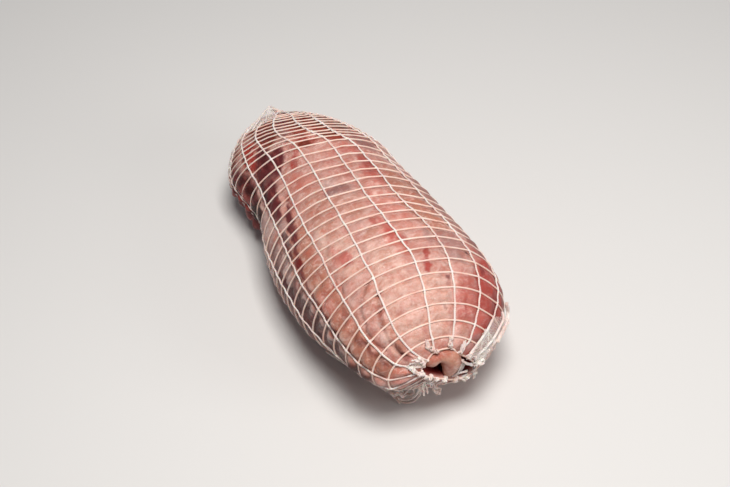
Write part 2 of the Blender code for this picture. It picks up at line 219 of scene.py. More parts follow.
# How far each strand on the upper side wanders, in degrees, at these stations in millimetres
WANDER_STATIONS = (0, 20, 45, 75, 100, 130, 165, 200, 215, 225, 240, 256, 275)
WANDER = {
    -4: (0, 0, 0, 0, 0, -2, -12, -17, -16, -14, -10, -6, 0),
    -3: (0, 0, 1.5, 2.0, -1.2, -0.5, -3.5, -3.5, -5.5, -11, -18, -14, 0),
    -2: (0, 0.3, 0, -0.7, 0.2, -1.5, -1.0, -2.8, -5.5, -11, -16, -8, 0),
    -1: (0, -2.2, -1.6, -1.2, 0, 0.2, 0.1, -1.5, -3.5, -9.5, -14, -9, 0),
    0: (0, 2.4, 3.1, 1.2, 1.4, 0.2, 0.5, 0, -1.5, -6, -10, -2, 0),
    1: (0, 1.6, 0.8, -0.4, 0.4, -2.5, -2.0, -4.0, -10, -9, -8, 4, 0),
    2: (0, 0.3, -0.6, -4.0, -2.2, -3.4, -1.4, 0, 0, 0, 0, 0, 0),
    3: (0, -4.0, -0.8, 1.0, 0, 0, 0, 0, 0, 0, 0, 0, 0),
}
WANDER_EASE = 6.0
# Where the rings lean: how far in metres, and the angles or stations that it rises and fades between
SLACK_LEAN = 0.0072
SLACK_LEAN_STATIONS = (0.095, 0.155, 0.235, FAR_STATION)
SLACK_LEAN_ANGLES = (-165, -120, -90, -62, -25)
SLACK_LEAN_SHARES = (0.0, 1.1, 1.75, 1.0, 0.0)
FAR_SIDE_LEAN = 0.0033
FAR_SIDE_STATION = 0.118
FAR_SIDE_REACH = 0.028
FAR_SIDE_ANGLES = (20, 44, 70, 110)
TOP_LEAN = 0.0024
TOP_LEAN_ANGLES = (0, 14, 30, 60)
TOP_LEAN_STATIONS = (0.135, 0.160, 0.195, 0.215)


def window(value, starts, full, eases, gone):
    """1 from full to eases, with an even bend down to 0 at starts and at gone."""
    return smooth_step(starts, full, value) * smooth_step(gone, eases, value)


def ring_station(ring):
    """How far along the roll a ring lies; part numbers lie between two rings."""
    return np.interp(ring, np.arange(len(RING_STATIONS)), RING_STATIONS)


def ring_at(station):
    """The ring number of a station along the roll."""
    return np.interp(station, RING_STATIONS, np.arange(len(RING_STATIONS)))


def strand_angle(number, station):
    """How far round the roll a strand runs; part numbers lie between two strands."""
    plain = FIRST_STRAND + math.tau * number / STRANDS
    angle = plain - STRAND_CROWDING * np.sin(plain)
    along = share_along(np.interp(station, STATIONS, OUTLINE_X))
    turn = (angle - DRIFT_SIDE + math.pi) % math.tau - math.pi
    return angle + STRAND_DRIFT * along * np.exp(-(turn / DRIFT_REACH) ** 2)


def net_place(ring, number):
    """Station and angle of a place on the net, counted in rings from the mouth and strands from the top."""
    station = ring_station(ring)
    degrees = turn_from(0, np.degrees(strand_angle(number, station)))
    slack = np.interp(degrees, SLACK_LEAN_ANGLES, SLACK_LEAN_SHARES) * window(station, *SLACK_LEAN_STATIONS)
    far_side = window(degrees, *FAR_SIDE_ANGLES) * np.exp(-((station - FAR_SIDE_STATION) / FAR_SIDE_REACH) ** 2)
    on_top = window(degrees, *TOP_LEAN_ANGLES) * window(station, *TOP_LEAN_STATIONS)
    station = station - SLACK_LEAN * slack - FAR_SIDE_LEAN * far_side + TOP_LEAN * on_top
    wander = 0.0
    wrapped = (np.asarray(number, dtype=float) + STRANDS / 2) % STRANDS - STRANDS / 2
    for strand, degrees_off in WANDER.items():
        spread = (station * 1000 - WANDER_EASE, station * 1000, station * 1000 + WANDER_EASE)
        here = sum(np.interp(at, WANDER_STATIONS, degrees_off) for at in spread) / len(spread)
        wander = wander + here * np.clip(1 - np.abs(wrapped - strand), 0.0, 1.0)
    return station, strand_angle(number, station) + np.radians(wander)


# The rolled meat
# One piece of raw lamb: pink-tan outer membrane with patches of bare lean, fat and grey-white fascia. Its colour also
# paints shade in the creases, under the overlap, down the pocket and low on the -Y side, and some highlight over the
# near top.
# It swells between the threads and is pinched under them. The finer the net's hold, the flatter the
# pillows: tight on top, slack and bulging on the -Y side.
PLACES_PER_CELL = 20
POCKET_ROWS = 24
ROLL_ROWS = 272
MERGE_DISTANCE = 0.00002
# The skin lies just under the threads and is grooved by them, in metres
UNDER_THREADS = 0.0002
GROOVE = 0.0004
GROOVE_HALF_WIDTH = 0.0015
LOWEST_SKIN = -0.0010
# The pocket in the mouth: share of the way in, share of the mouth's width, and depth in metres
POCKET = ((0, 1, 0), (0.08, 0.94, 0.0005), (0.18, 0.90, 0.0022), (0.35, 0.84, 0.0075), (0.6, 0.70, 0.0145),
          (0.8, 0.42, 0.0180), (1, 0, 0.0190))
POCKET_RELIEF = 0.0006
# Down the pocket, in rings from the mouth: where the bare wet red lean comes in, then where painted shade darkens it
# further in, and how dark that painted shade gets
POCKET_RED = (-0.03, -0.22)
POCKET_SHADE_RINGS = (-0.25, -0.55)
POCKET_PAINTED_SHADE = 0.8
# How far from a ring and from a strand a pillow is still rounded off, and how much the pillows differ
RING_SHOULDER = 0.0030
STRAND_SHOULDER = 0.0045
PILLOW_UNEVENNESS = 0.45
PILLOW_UNEVEN_SIZE = 0.013
# Height of the pillows between the threads, in millimetres: station, angle, reaches, height
PILLOW_PLAIN = 0.78
PILLOWS = (
    (50, -58, 50, 16, 2.2), (26, -56, 28, 16, 1.6), (70, -80, 60, 14, 1.3), (140, -52, 30, 12, 0.9),
    (190, -84, 22, 14, 1.2), (222, -76, 14, 12, 0.8), (200, -50, 24, 10, 0.6), (32, -33, 32, 10, 1.4),
    (14, -70, 14, 14, 0.9), (40, 42, 45, 18, 0.8), (35, 0, 42, 34, 1.0), (110, 10, 45, 40, 0.5),
    (222, 12, 18, 25, 0.5), (60, 130, 80, 40, 1.0), (160, 130, 60, 50, 1.0), (150, -140, 80, 40, 1.0),
)
# Where the meat bulges out between two slack strands: station, angle, reaches, height
FOLDS = ((182, -115, 15, 12, 5.2), (208, -110, 7, 10, 4.0), (196, -92, 16, 9, 1.6))
FOLD_SHOULDER = 0.0055
FOLD_CUT = 0.16
FOLD_CUT_HALF_WIDTH = 0.0016
# Creases: depth in millimetres, half width in millimetres, then station and angle along it
CREASES = (
    (2.0, 1.1, ((8, -30), (20, -32), (31, -30), (37, -27), (44, -23.5), (52, -22))),
    (1.4, 1.0, ((20, -39), (30, -42), (40, -39), (48, -36), (54, -33), (59, -28), (62, -21))),
    (1.2, 1.2, ((8, -48), (20, -47.5), (33, -47), (46, -47))),
    (1.6, 1.2, ((40, -64), (52, -63.5), (66, -64.5), (82, -65))),
    (0.9, 1.0, ((12, -66), (20, -58), (24, -50))),
    (0.8, 1.0, ((36, -64), (42, -57), (41, -50))),
    (0.8, 1.0, ((60, -62), (66, -57), (74, -53), (84, -50))),
    (0.7, 1.0, ((150, -44), (160, -43.5), (170, -46), (178, -49))),
    (0.8, 1.2, ((184, -39), (190, -33), (200, -27), (212, -24))),
    (0.4, 0.9, ((45, -20), (47, -8), (52, 0), (60, 10), (70, 18))),
    (0.35, 0.9, ((52, -14), (56, -4), (62, 6), (72, 14))),
    (0.4, 0.9, ((12, -18), (17, -8), (25, 2), (35, 10))),
    (0.35, 0.9, ((28, 3), (36, 13), (41, 22))),
    (0.3, 0.9, ((40, -26), (44, -16), (46, -6))),
    (0.6, 1.0, ((66, -42), (76, -36), (84, -27), (88, -19))),
    (0.5, 1.0, ((92, -40), (102, -34), (114, -31), (124, -22))),
    (0.5, 1.0, ((120, -38), (132, -33), (140, -24))),
    (0.4, 1.0, ((100, 6), (112, 12), (126, 14), (138, 21))),
    (0.5, 1.0, ((84, 26), (96, 33), (110, 36))),
    (1.2, 1.2, ((203, -66), (212, -64), (222, -58), (228, -52))),
    (1.2, 1.3, ((176, -71), (188, -72), (200, -70))),
)
CREASE_SPREAD = 1.3
CREASE_WANDER = 0.0016
CREASE_WANDER_DEGREES = 1.8
CREASE_LEAST = 0.55
# The creases are also painted brown as their shade: the depth in metres where that painted shade is full, and its
# strength
CREASE_DARKEST = 0.0018
CREASE_PAINTED_SHADE = 0.55
# The sheet's outer edge, where the layer under it starts: angles in degrees, stations in metres
OVERLAP_DEPTH = 0.0024
OVERLAP_ANGLE = -63.0
OVERLAP_WANDER = 1.2
OVERLAP_STEP = 4.0
OVERLAP_UNDER = (-104, -82)
OVERLAP_STATIONS = (0.040, 0.047, 0.122, 0.150)
# Under the edge lies a line of painted shadow in the wet red of the lean: the angles and stations where it rises, is
# full and fades, how red it is and how bare it makes the lean
OVERLAP_SHADOW_ANGLES = (-62.5, -60.5, -60.5, -58.0)
OVERLAP_SHADOW_STATIONS = (0.040, 0.047, 0.115, 0.150)
OVERLAP_SHADOW_RED = 0.9
OVERLAP_SHADOW_BARE = 0.75
# The surface's low unevenness: size and height in metres, and how much of it is left under the threads
LOW_RELIEF = ((0.016, 0.00060), (0.006, 0.00036), (0.0026, 0.00022))
RELIEF_LEAST = 0.35
# Flesh colours, as the eye sees them in even light; the dark, and some brown and grey patches, also paint shade, and
# some cream and pale patches paint highlight
FLESH_AND_PAINTED_LIGHT = {
    "membrane": "c9968a",
    "pale": "dcaea1",
    "cream": "d6a998",
    "tan": "b27763",
    "brown": "6b3a31",
    "salmon": "cb7f71",
    "pink": "bd6a60",
    "red": "a4453d",
    "vivid": "b03c34",
    "lean": "662e31",
    "dark": "3a1716",
    "wet red": "70201f",
    "rust": "943e2e",
    "umber": "733222",
    "fascia": "c6a79f",
    "grey": "604a49",
    "fat": "f0cdc0",
    "mauve": "96706b",
}
# Painted shade: the meat is painted a little darker and redder towards the gathered end, where less light falls
FAR_SHADE = (0.88, 0.79, 0.77)
FAR_SHADE_STATIONS = (0.105, 0.200)
# How bare the lean is: 0 under a pale membrane, 1 where the dark muscle itself shows or the dark colour paints shade
BARE = {"brown": 0.8, "red": 0.7, "vivid": 0.8, "lean": 1.0, "dark": 1.0, "wet red": 1.0, "rust": 0.9, "umber": 1.0,
        "grey": 0.5, "pink": 0.3, "mauve": 0.45}
# Where each shows: colour, station, angle, half length, half spread, lean in degrees a millimetre,
# strength. Later ones lie over earlier ones.
PATCHES = (
    # The brown patch at station 24 paints shade along the crease near -48 degrees by the mouth
    ("tan", 50, -56, 75, 15, 0, 1.0), ("brown", 24, -50, 16, 3.0, 0.02, 0.55), ("salmon", 7, -60, 7, 14, 0, 0.6),
    ("tan", 112, -50, 30, 9, 0.1, 0.9), ("red", 104, -58, 5, 3.5, 0.3, 0.6),
    ("lean", 140, -49, 24, 2.8, 0.15, 0.75), ("red", 152, -43, 6, 2, 0.2, 0.6), ("grey", 118, -60, 8, 3, 0.3, 0.85),
    ("fascia", 148, -56.5, 12, 3.6, 0.15, 0.95), ("fascia", 137, -55, 6, 3, 0.35, 0.7),
    ("grey", 130, -60, 8, 3.4, 0.3, 0.95), ("salmon", 67, -55, 9, 5, 0.1, 0.75),
    # The brown band along -63.5 degrees is painted shadow under the overlapping edge
    ("brown", 47, -63.5, 34, 2.0, 0, 0.55), ("pale", 86, -57, 6, 3, 0.2, 0.5), ("brown", 52, -47, 7, 2, 0.1, 0.6),
    # Low on the -Y side the grey patch at station 75 and the dark one at station 33 on the next line are the meat's
    # own grey-purple, painted darker as that side's shade
    ("pink", 14, -41, 6, 4, 0, 0.5), ("grey", 75, -84, 62, 16, 0, 1.0), ("lean", 82, -86, 40, 9, 0, 0.55),
    ("fascia", 70, -70, 30, 2.2, 0.02, 0.7), ("dark", 33, -76, 13, 6, 0, 0.85), ("fascia", 118, -74, 16, 8, 0, 0.8),
    ("mauve", 130, -77, 14, 7, 0, 0.8), ("fascia", 152, -72, 14, 8, 0, 0.75), ("brown", 66, -120, 80, 28, 0, 0.85),
    # The cream patches at stations 44 and 28 over the near top are the membrane's paler tone, partly painted highlight
    # where the light's sheen falls
    ("cream", 96, -30, 28, 9, 0, 0.75), ("cream", 44, -12, 44, 11, 0, 0.7), ("cream", 28, 10, 26, 12, 0, 0.7),
    # The brown patches at stations 16 and 15 paint shade in the creases by the mouth
    ("brown", 16, -29, 3, 4, 0, 0.9), ("brown", 15, -54, 4, 7, 0, 0.9), ("wet red", 8, -31, 2.6, 4, 0, 0.7),
    ("cream", 43, -57, 3.5, 5, 0.2, 0.95), ("cream", 26, -33, 2.6, 4, 0, 0.9), ("cream", 15, -35, 3, 3.5, 0, 0.7),
    # The pale patch at station 42 is the membrane's whitish veil, partly painted sheen; the one at station 33 is
    # partly painted highlight
    ("pale", 42, 26, 12, 6, 0.1, 0.7), ("pale", 33, -4, 12, 8, 0, 0.45), ("tan", 20, -27, 14, 3, 0.05, 0.8),
    ("tan", 46, -27, 14, 4.5, 0.1, 0.55), ("fascia", 25, -35, 5, 2, 0.1, 0.65),
    ("fascia", 38, -30, 6, 1.6, 0.25, 0.6), ("pale", 55, -38, 6, 2, 0.1, 0.7), ("red", 25, -40, 3.5, 1.8, 0, 0.4),
    ("pink", 85, -30, 6, 4, 0.2, 0.95), ("pink", 90, -34, 9, 3, 0.3, 0.6), ("tan", 138, -28, 26, 10, 0, 0.55),
    ("pink", 166, -33, 8, 3, 0.1, 0.4), ("tan", 99, -8, 8, 4.5, 0.6, 0.7), ("tan", 74, -10, 7, 4, 0.6, 0.4),
    ("salmon", 86, 1, 16, 5, 0, 0.95), ("pink", 97, 2, 15, 2.6, 0, 0.9), ("red", 107, -3, 5, 2.6, 0, 0.7),
    ("vivid", 90, 0.5, 6, 1.6, 0.1, 0.7), ("tan", 128, -9, 14, 8, 0, 0.6), ("mauve", 148, -10, 5, 9, 0, 1.0),
    ("fascia", 158, -12, 6, 5, 0, 0.7), ("red", 162, 1, 4, 1.8, 0, 0.4), ("red", 171, 1, 4, 2.6, 0, 0.6),
    ("pale", 186, -8, 12, 8, 0, 0.35), ("rust", 182, -8, 3, 1.6, 0, 0.5), ("pink", 190, 1, 5, 2.5, 0, 0.4),
    ("salmon", 130, 14, 38, 9, 0, 0.7), ("tan", 130, 32, 46, 11, 0, 0.7), ("red", 58, 11.5, 5.5, 2.2, 0.05, 1.0),
    ("red", 68, 13.5, 6, 1.8, 0.25, 0.95), ("rust", 74, 6, 7, 7, 0, 0.35), ("red", 84, 6, 5, 2.4, 0, 0.7),
    ("lean", 26.5, 18, 1.2, 2, 0, 0.5), ("lean", 48, 21.5, 1.8, 1.5, 0, 0.8), ("rust", 45, 22, 2.5, 1.6, 0, 0.5),
    # The narrow brown band at station 141 is painted shadow
    ("mauve", 82, 20, 9, 4, 0.2, 0.55), ("brown", 141, 15, 2.4, 7, 0, 0.45), ("pink", 162, 18, 18, 7, 0, 0.9),
    ("red", 159, 18, 3.5, 2.4, 0, 0.5), ("red", 169, 20, 7, 3.6, 0, 0.75), ("red", 180, 17, 6, 4, 0, 0.7),
    ("pink", 193, 13, 7, 8, 0, 0.75), ("pink", 30, 35, 22, 9, 0, 0.85), ("red", 32, 33, 11, 1.6, 0, 0.6),
    ("rust", 45, 39, 5, 2.6, 0, 0.45), ("pale", 12, 33, 6, 9, 0, 0.7), ("mauve", 76, 33, 18, 9, 0.1, 0.75),
    ("lean", 67, 39, 1.6, 1.4, 0, 0.85), ("lean", 75, 27, 1.4, 1.2, 0, 0.6), ("tan", 128, 34, 40, 11, 0, 0.95),
    ("salmon", 128, 29, 5, 3, 0, 0.6), ("red", 111, 40, 1.6, 1.6, 0, 0.6), ("red", 44, 61, 46, 19, 0, 1.0),
    ("pink", 20, 52, 12, 7, 0, 0.5), ("vivid", 47, 60, 6, 4.5, 0, 0.6), ("vivid", 66, 56, 6, 5, 0, 0.45),
    ("lean", 38, 62, 8, 3, 0, 0.4), ("lean", 42, 84, 24, 11, 0, 0.8), ("lean", 30, 66, 12, 3, 0, 0.45),
    ("mauve", 11, 57, 8, 8, 0, 0.7), ("lean", 58, 49, 5, 2, 0.2, 0.6), ("mauve", 80, 60, 14, 9, 0, 0.7),
    ("brown", 120, 58, 50, 12, 0, 0.55), ("tan", 60, 100, 90, 22, 0, 0.6), ("salmon", 168, -30, 14, 9, 0, 0.6),
    ("lean", 174, -55, 30, 10.5, 0.02, 1.0), ("lean", 200, -50, 20, 13, 0.2, 1.0),
    ("lean", 198, -38, 16, 6, 0.5, 1.0), ("dark", 176, -58, 12, 3.4, 0.1, 0.6),
    ("dark", 203, -46, 9, 3.5, 0.3, 0.45), ("lean", 148, -48.5, 14, 2.8, -0.03, 0.95),
    ("lean", 124, -52.5, 16, 2.2, 0.2, 0.9), ("wet red", 103, -57, 9, 2.6, 0.2, 0.95),
    ("dark", 133, -51, 7, 1.2, 0.15, 0.5), ("pale", 160, -48, 13, 2.2, 0.30, 0.95),
    ("rust", 160, -42.5, 4, 1.3, 0.2, 0.8), ("mauve", 186, -50, 4, 6, 0.3, 0.35),
    ("red", 190, -25, 9, 3.5, 0.1, 0.85), ("red", 203, -21.5, 8, 2, 0.1, 0.7),
    # On the far lobe low on the -Y side the dark patches at stations 172, 187 and 199 paint shade over the bare red
    # lean
    ("vivid", 188, -27, 4, 1.5, 0.2, 0.5), ("lean", 186, -92, 32, 28, 0, 1.0), ("dark", 172, -84, 9, 15, 0.2, 1.0),
    ("red", 190, -90, 7, 14, 0, 0.8), ("dark", 187, -75, 5, 5, 0, 0.9), ("dark", 199, -78, 4, 8, 0, 0.7),
    ("lean", 186, -130, 40, 30, 0, 1.0), ("wet red", 182, -118, 24, 14, 0, 0.9), ("red", 190, -112, 5, 6, 0, 0.45),
    ("red", 210, -106, 7, 10, 0, 0.7), ("umber", 222, -88, 14, 16, 0, 0.8), ("fascia", 214, -72, 5, 6, 0, 0.5),
    ("fat", 182, -65.5, 15, 1.5, 0.10, 0.8), ("fat", 170, -70, 7, 1.6, 0.1, 0.7),
    ("pale", 204, -61, 6, 1.6, 0.1, 0.8), ("red", 216, -58, 14, 8.5, 0.1, 1.0),
    ("vivid", 211, -58, 11, 7, 0.35, 1.0), ("salmon", 207, -60, 3, 2.5, 0.3, 0.6),
    ("vivid", 223, -62, 6, 5, 0, 0.9), ("fat", 213, -50.5, 2.5, 1.2, 0.5, 0.9),
    ("fat", 219, -55, 2.2, 2.6, 0.6, 0.9), ("fat", 225, -47.5, 4, 1.3, 0, 0.8), ("dark", 217, -66, 4, 1.8, 0, 0.8),
    ("umber", 230, -38, 16, 12, 0, 1.0), ("umber", 246, -44, 18, 22, 0, 1.0), ("wet red", 238, -40, 5, 9, 0.2, 0.5),
    ("lean", 227, -38, 4, 7, 0.3, 0.8), ("fascia", 215, -29, 3, 7, 0.6, 0.8), ("mauve", 219, -24, 6, 3, 0, 0.7),
    ("lean", 240, -19, 17, 9, 0.05, 0.95), ("mauve", 232, -19, 6, 5, 0.05, 0.8), ("lean", 246, -16, 10, 3, 0, 0.6),
    ("rust", 211, -9, 7, 9, 0, 1.0), ("umber", 207, -13, 3, 5, 0, 0.9), ("rust", 228, -8, 11, 9, 0, 1.0),
    ("umber", 240, -4, 12, 10, 0, 1.0), ("umber", 221, -12, 2.5, 5, 0, 0.9), ("salmon", 213, -4, 3, 3, 0, 0.6),
    ("fat", 222, -1, 5, 1.6, 0, 0.7), ("umber", 219, 12, 16, 11, 0, 1.0), ("rust", 209, 12, 4, 8, 0, 0.9),
    ("rust", 224, 10, 4, 6, 0, 0.7), ("vivid", 227, 8, 2.5, 3, 0, 0.5), ("umber", 242, 14, 16, 13, 0, 1.0),
    ("umber", 252, 6, 9, 14, 0, 0.8), ("mauve", 210, 32, 20, 10, 0, 1.0), ("umber", 214, 33, 5, 5, 0, 0.5),
    ("brown", 236, 31, 16, 14, 0, 1.0), ("brown", 254, 24, 5, 18, 0, 0.9), ("brown", 262, 20, 16, 30, 0, 0.9),
    # The dark line at -65.5 degrees is painted shadow under the overlapping edge; the narrow brown patches at stations
    # 28 and 14 on the next line paint shade in creases
    ("brown", 244, 62, 22, 26, 0, 0.7), ("dark", 62, -65.5, 24, 1.4, 0, 0.6), ("tan", 14, -55, 6, 6, 0, 0.6),
    ("brown", 28, -49.5, 16, 1.6, 0, 0.75), ("brown", 14, -31, 7, 2.0, 0, 0.7), ("tan", 16, 36, 6, 5, 0, 0.6),
    ("dark", 67, 39, 1.3, 1.2, 0, 0.9),
)
PATCH_EDGE = (1.26, 0.70)
# The patches' edges wander: size in metres, then reach in millimetres and degrees
PATCH_WARP = ((0.020, 3.0), (0.007, 2.1), (0.0028, 1.4))


def linear(code):
    """An sRGB hex colour as linear red, green and blue."""
    parts = [int(code[i:i + 2], 16) / 255 for i in (0, 2, 4)]
    return tuple(c / 12.92 if c <= 0.04045 else ((c + 0.055) / 1.055) ** 2.4 for c in parts)


def noise_at(points, size, seed):
    """Smooth noise, about -1 to 1, that varies over that many metres."""
    offset = Vector((seed * 7.3, seed * 3.1, seed * 5.7))
    return np.array([noise.noise(Vector(p) / size + offset) for p in points])


def roll_grid():
    """A flat grid of places: rows about a millimetre apart along the roll, some more down the pocket."""
    rows = POCKET_ROWS + ROLL_ROWS
    columns = STRANDS * PLACES_PER_CELL
    bm = bmesh.new()
    bmesh.ops.create_grid(bm, x_segments=rows, y_segments=columns, size=0.5)
    flat = np.array([v.co[:2] for v in bm.verts]) + 0.5
    row = np.round(flat[:, 0] * rows) - POCKET_ROWS
    ring = np.where(row < 0, row / POCKET_ROWS, ring_at(row / ROLL_ROWS * FAR_STATION))
    number = np.round(flat[:, 1] * columns) / PLACES_PER_CELL
    return bm, ring, number


def pocket_points(ring, number):
    """The mouth's pocket: from the net's first ring over a soft lip and into the roll's end."""
    station, angle = net_place(np.zeros_like(ring), number)
    rim = layer_points(station, angle, np.full_like(ring, -UNDER_THREADS - GROOVE), 0.0)
    centre = rim.mean(axis=0)
    inward = np.clip(-ring, 0.0, 1.0)
    ways, shares, depths = zip(*POCKET)
    points = centre + (rim - centre) * np.interp(inward, ways, shares)[:, None]
    points[:, 0] -= np.interp(inward, ways, depths)
    return points


def crease_depth(station, degrees):
    """How deep the creases are at each place, in metres."""
    depth = np.zeros_like(station)
    for deep, half, route in CREASES:
        for (s0, a0), (s1, a1) in zip(route, route[1:]):
            step = np.array([s1 - s0, a1 - a0], dtype=float)
            share = ((station * 1000 - s0) * step[0] + (degrees - a0) * step[1]) / (step @ step)
            share = np.clip(share, 0.0, 1.0)
            away = np.hypot(station * 1000 - s0 - share * step[0], degrees - a0 - share * step[1])
            depth = np.maximum(depth, deep * 0.001 * np.exp(-(away / (CREASE_SPREAD * half)) ** 2))
    return depth


def lay_over(colour, name, share):
    """Lays one of the palette's colours, flesh or painted shade, over the others, by that share at each place."""
    colour += (np.array(linear(FLESH_AND_PAINTED_LIGHT[name])) - colour) * share[:, None]


bm, ring, number = roll_grid()
station, angle = net_place(ring, number)
degrees = turn_from(0, np.degrees(angle))
base = layer_points(np.clip(station, 0.0, FAR_STATION - NUDGE), angle, np.zeros_like(station), 0.0)
cell_width = math.tau / STRANDS * np.interp(station, STATIONS, OUTLINE_WIDTH)
from_ring = np.abs(ring_station(ring) - ring_station(np.round(ring)))
from_strand = np.abs(number - np.round(number)) * cell_width
pinch = np.maximum(np.exp(-(from_ring / GROOVE_HALF_WIDTH) ** 2), np.exp(-(from_strand / GROOVE_HALF_WIDTH) ** 2))
swell = PILLOW_PLAIN * np.ones_like(station)
for *where, height in PILLOWS:
    swell += height * mound(station * 1000, degrees, *where)
swell *= 0.001 * (1 + PILLOW_UNEVENNESS * noise_at(base, PILLOW_UNEVEN_SIZE, 1))
rounded = (1 - np.exp(-(from_ring / RING_SHOULDER) ** 2)) * (1 - np.exp(-(from_strand / STRAND_SHOULDER) ** 2))
out = -UNDER_THREADS - GROOVE * pinch + swell * rounded
for seed, (size, height) in enumerate(LOW_RELIEF):
    out += height * noise_at(base, size, 2 + seed) * (RELIEF_LEAST + (1 - RELIEF_LEAST) * rounded)
creased = crease_depth(station + CREASE_WANDER * noise_at(base, 0.006, 16),
                       degrees + CREASE_WANDER_DEGREES * noise_at(base, 0.007, 17))
creased *= CREASE_LEAST + (1 - CREASE_LEAST) * np.clip(1.6 * noise_at(base, 0.009, 18) + 0.6, 0.0, 1.0)
out -= creased
off_threads = ((1 - np.exp(-(from_strand / FOLD_SHOULDER) ** 2))
               * (1 - FOLD_CUT * np.exp(-(from_ring / FOLD_CUT_HALF_WIDTH) ** 2)))
for *where, height in FOLDS:
    out += 0.001 * height * mound(station * 1000, degrees, *where) * off_threads
seam = OVERLAP_ANGLE + OVERLAP_WANDER * noise_at(base, 0.018, 6)
lies_under = smooth_step(seam, seam - OVERLAP_STEP, degrees) * smooth_step(*OVERLAP_UNDER, degrees)
out -= OVERLAP_DEPTH * lies_under * window(station, *OVERLAP_STATIONS)
skin = layer_points(np.clip(station, 0.0, FAR_STATION - NUDGE), angle, out, LOWEST_SKIN)
skin[:, 2] = np.maximum(skin[:, 2], 0.0)
inside = ring < 0
skin[inside] = pocket_points(ring[inside], number[inside])
skin[inside, 0] += POCKET_RELIEF * noise_at(skin[inside], 0.006, 9)

warped_station = station * 1000
warped_degrees = degrees.copy()
for seed, (size, reach) in enumerate(PATCH_WARP):
    warped_station = warped_station + reach * noise_at(base, size, 11 + seed)
    warped_degrees = warped_degrees + reach * noise_at(base, size, 31 + seed)
colour = np.tile(np.array(linear(FLESH_AND_PAINTED_LIGHT["membrane"])), (len(station), 1))
bare = np.zeros_like(station)
for name, s, a, s_half, a_half, tilt, strength in PATCHES:
    along = warped_station - s
    turn = turn_from(a, warped_degrees) - tilt * along
    weight = strength * smooth_step(*PATCH_EDGE, np.hypot(along / s_half, turn / a_half))
    lay_over(colour, name, weight)
    bare += (BARE.get(name, 0.0) - bare) * weight
# Painted shade: a wet red line of painted shadow under the overlap's edge, painted brown shade in the creases, and
# down the pocket the bare wet red lean darkening into painted shade
line = window(degrees, *OVERLAP_SHADOW_ANGLES) * window(station, *OVERLAP_SHADOW_STATIONS)
lay_over(colour, "wet red", OVERLAP_SHADOW_RED * line)
bare += (1 - bare) * OVERLAP_SHADOW_BARE * line
# Painted shade towards the gathered end
colour *= 1 - smooth_step(*FAR_SHADE_STATIONS, station)[:, None] * (1 - np.array(FAR_SHADE))
lay_over(colour, "brown", CREASE_PAINTED_SHADE * np.clip(creased / CREASE_DARKEST, 0.0, 1.0) ** 1.5)
deep = smooth_step(*POCKET_RED, ring)
bare += (1 - bare) * deep
lay_over(colour, "wet red", deep)
lay_over(colour, "dark", POCKET_PAINTED_SHADE * smooth_step(*POCKET_SHADE_RINGS, ring))

flesh_and_painted_light_layer = bm.verts.layers.float_color.new("flesh")
bare_layer = bm.verts.layers.float.new("bare")
for vert, point, hue, lean in zip(bm.verts, skin, colour, bare):
    vert.co = point
    vert[flesh_and_painted_light_layer] = (*hue, 1.0)
    vert[bare_layer] = float(lean)
bmesh.ops.remove_doubles(bm, verts=bm.verts, dist=MERGE_DISTANCE)
bmesh.ops.recalc_face_normals(bm, faces=bm.faces)


def add_piece(name, bm, material, slot, *nodes):
    """A finished piece of the scene from a bmesh, riding on the part and standing for these nodes."""
    for face in bm.faces:
        face.smooth = True
    mesh = bpy.data.meshes.new(name)
    bm.to_mesh(mesh)
    bm.free()
    piece = bpy.data.objects.new(name, mesh)
    bpy.context.scene.collection.objects.link(piece)
    mesh.materials.append(material)
    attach(piece, "root")
    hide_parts(*nodes)


def new_material(name):
    """A material with nothing in it but its shader, and a way to add nodes to it."""
    material = bpy.data.materials.new(name)
    material.use_nodes = True
    tree = material.node_tree
    shader = tree.nodes["Principled BSDF"]

    def node(kind, settings=None, **links):
        """Add one node: its settings by attribute, and links or values by input name or number."""
        made = tree.nodes.new(kind)
        for key, value in (settings or {}).items():
            setattr(made, key, value)
        for key, value in links.items():
            socket = made.inputs[int(key[1:]) if key[0] == "i" and key[1:].isdigit() else key.replace("_", " ")]
            if isinstance(value, bpy.types.NodeSocket):
                tree.links.new(value, socket)
            else:
                socket.default_value = value
        return made

    return material, tree, shader, node


# Raw lamb under its own thin, wet membrane: light goes a few millimetres in and comes back pink, and
# the juice on it gives small sharp glints over a soft satin.
raw_lamb, tree, shader, node = new_material("raw_lamb_wet_membrane")
place = node("ShaderNodeTexCoord").outputs["Object"]
flesh = node("ShaderNodeAttribute", {"attribute_name": "flesh"})
bare_at = node("ShaderNodeAttribute", {"attribute_name": "bare"})
covered = node("ShaderNodeMath", {"operation": "SUBTRACT"}, i0=1.0, i1=bare_at.outputs["Fac"])
along_roll = node("ShaderNodeMapping", Scale=(1 / 0.006, 1 / 0.0017, 1 / 0.0017), Rotation=(0.2, 0.3, 0.25),
                  Vector=place)
fibres = node("ShaderNodeTexNoise", Vector=along_roll.outputs[0], Scale=1.0, Detail=4.0, Roughness=0.6)
mottle = node("ShaderNodeTexNoise", Vector=place, Scale=1 / 0.006, Detail=5.0, Roughness=0.65)
grain = node("ShaderNodeTexNoise", Vector=place, Scale=1 / 0.0012, Detail=3.0, Roughness=0.6)
mottle_range = node("ShaderNodeMapRange", i0=mottle.outputs["Fac"], i1=0.3, i2=0.7, i3=0.90, i4=1.08)
fibre_range = node("ShaderNodeMapRange", i0=fibres.outputs["Fac"], i1=0.3, i2=0.7, i3=0.92, i4=1.07)
both = node("ShaderNodeMath", {"operation": "MULTIPLY"}, i0=mottle_range.outputs[0], i1=fibre_range.outputs[0])
uneven = node("ShaderNodeVectorMath", {"operation": "SCALE"}, i0=flesh.outputs["Color"], Scale=both.outputs[0])
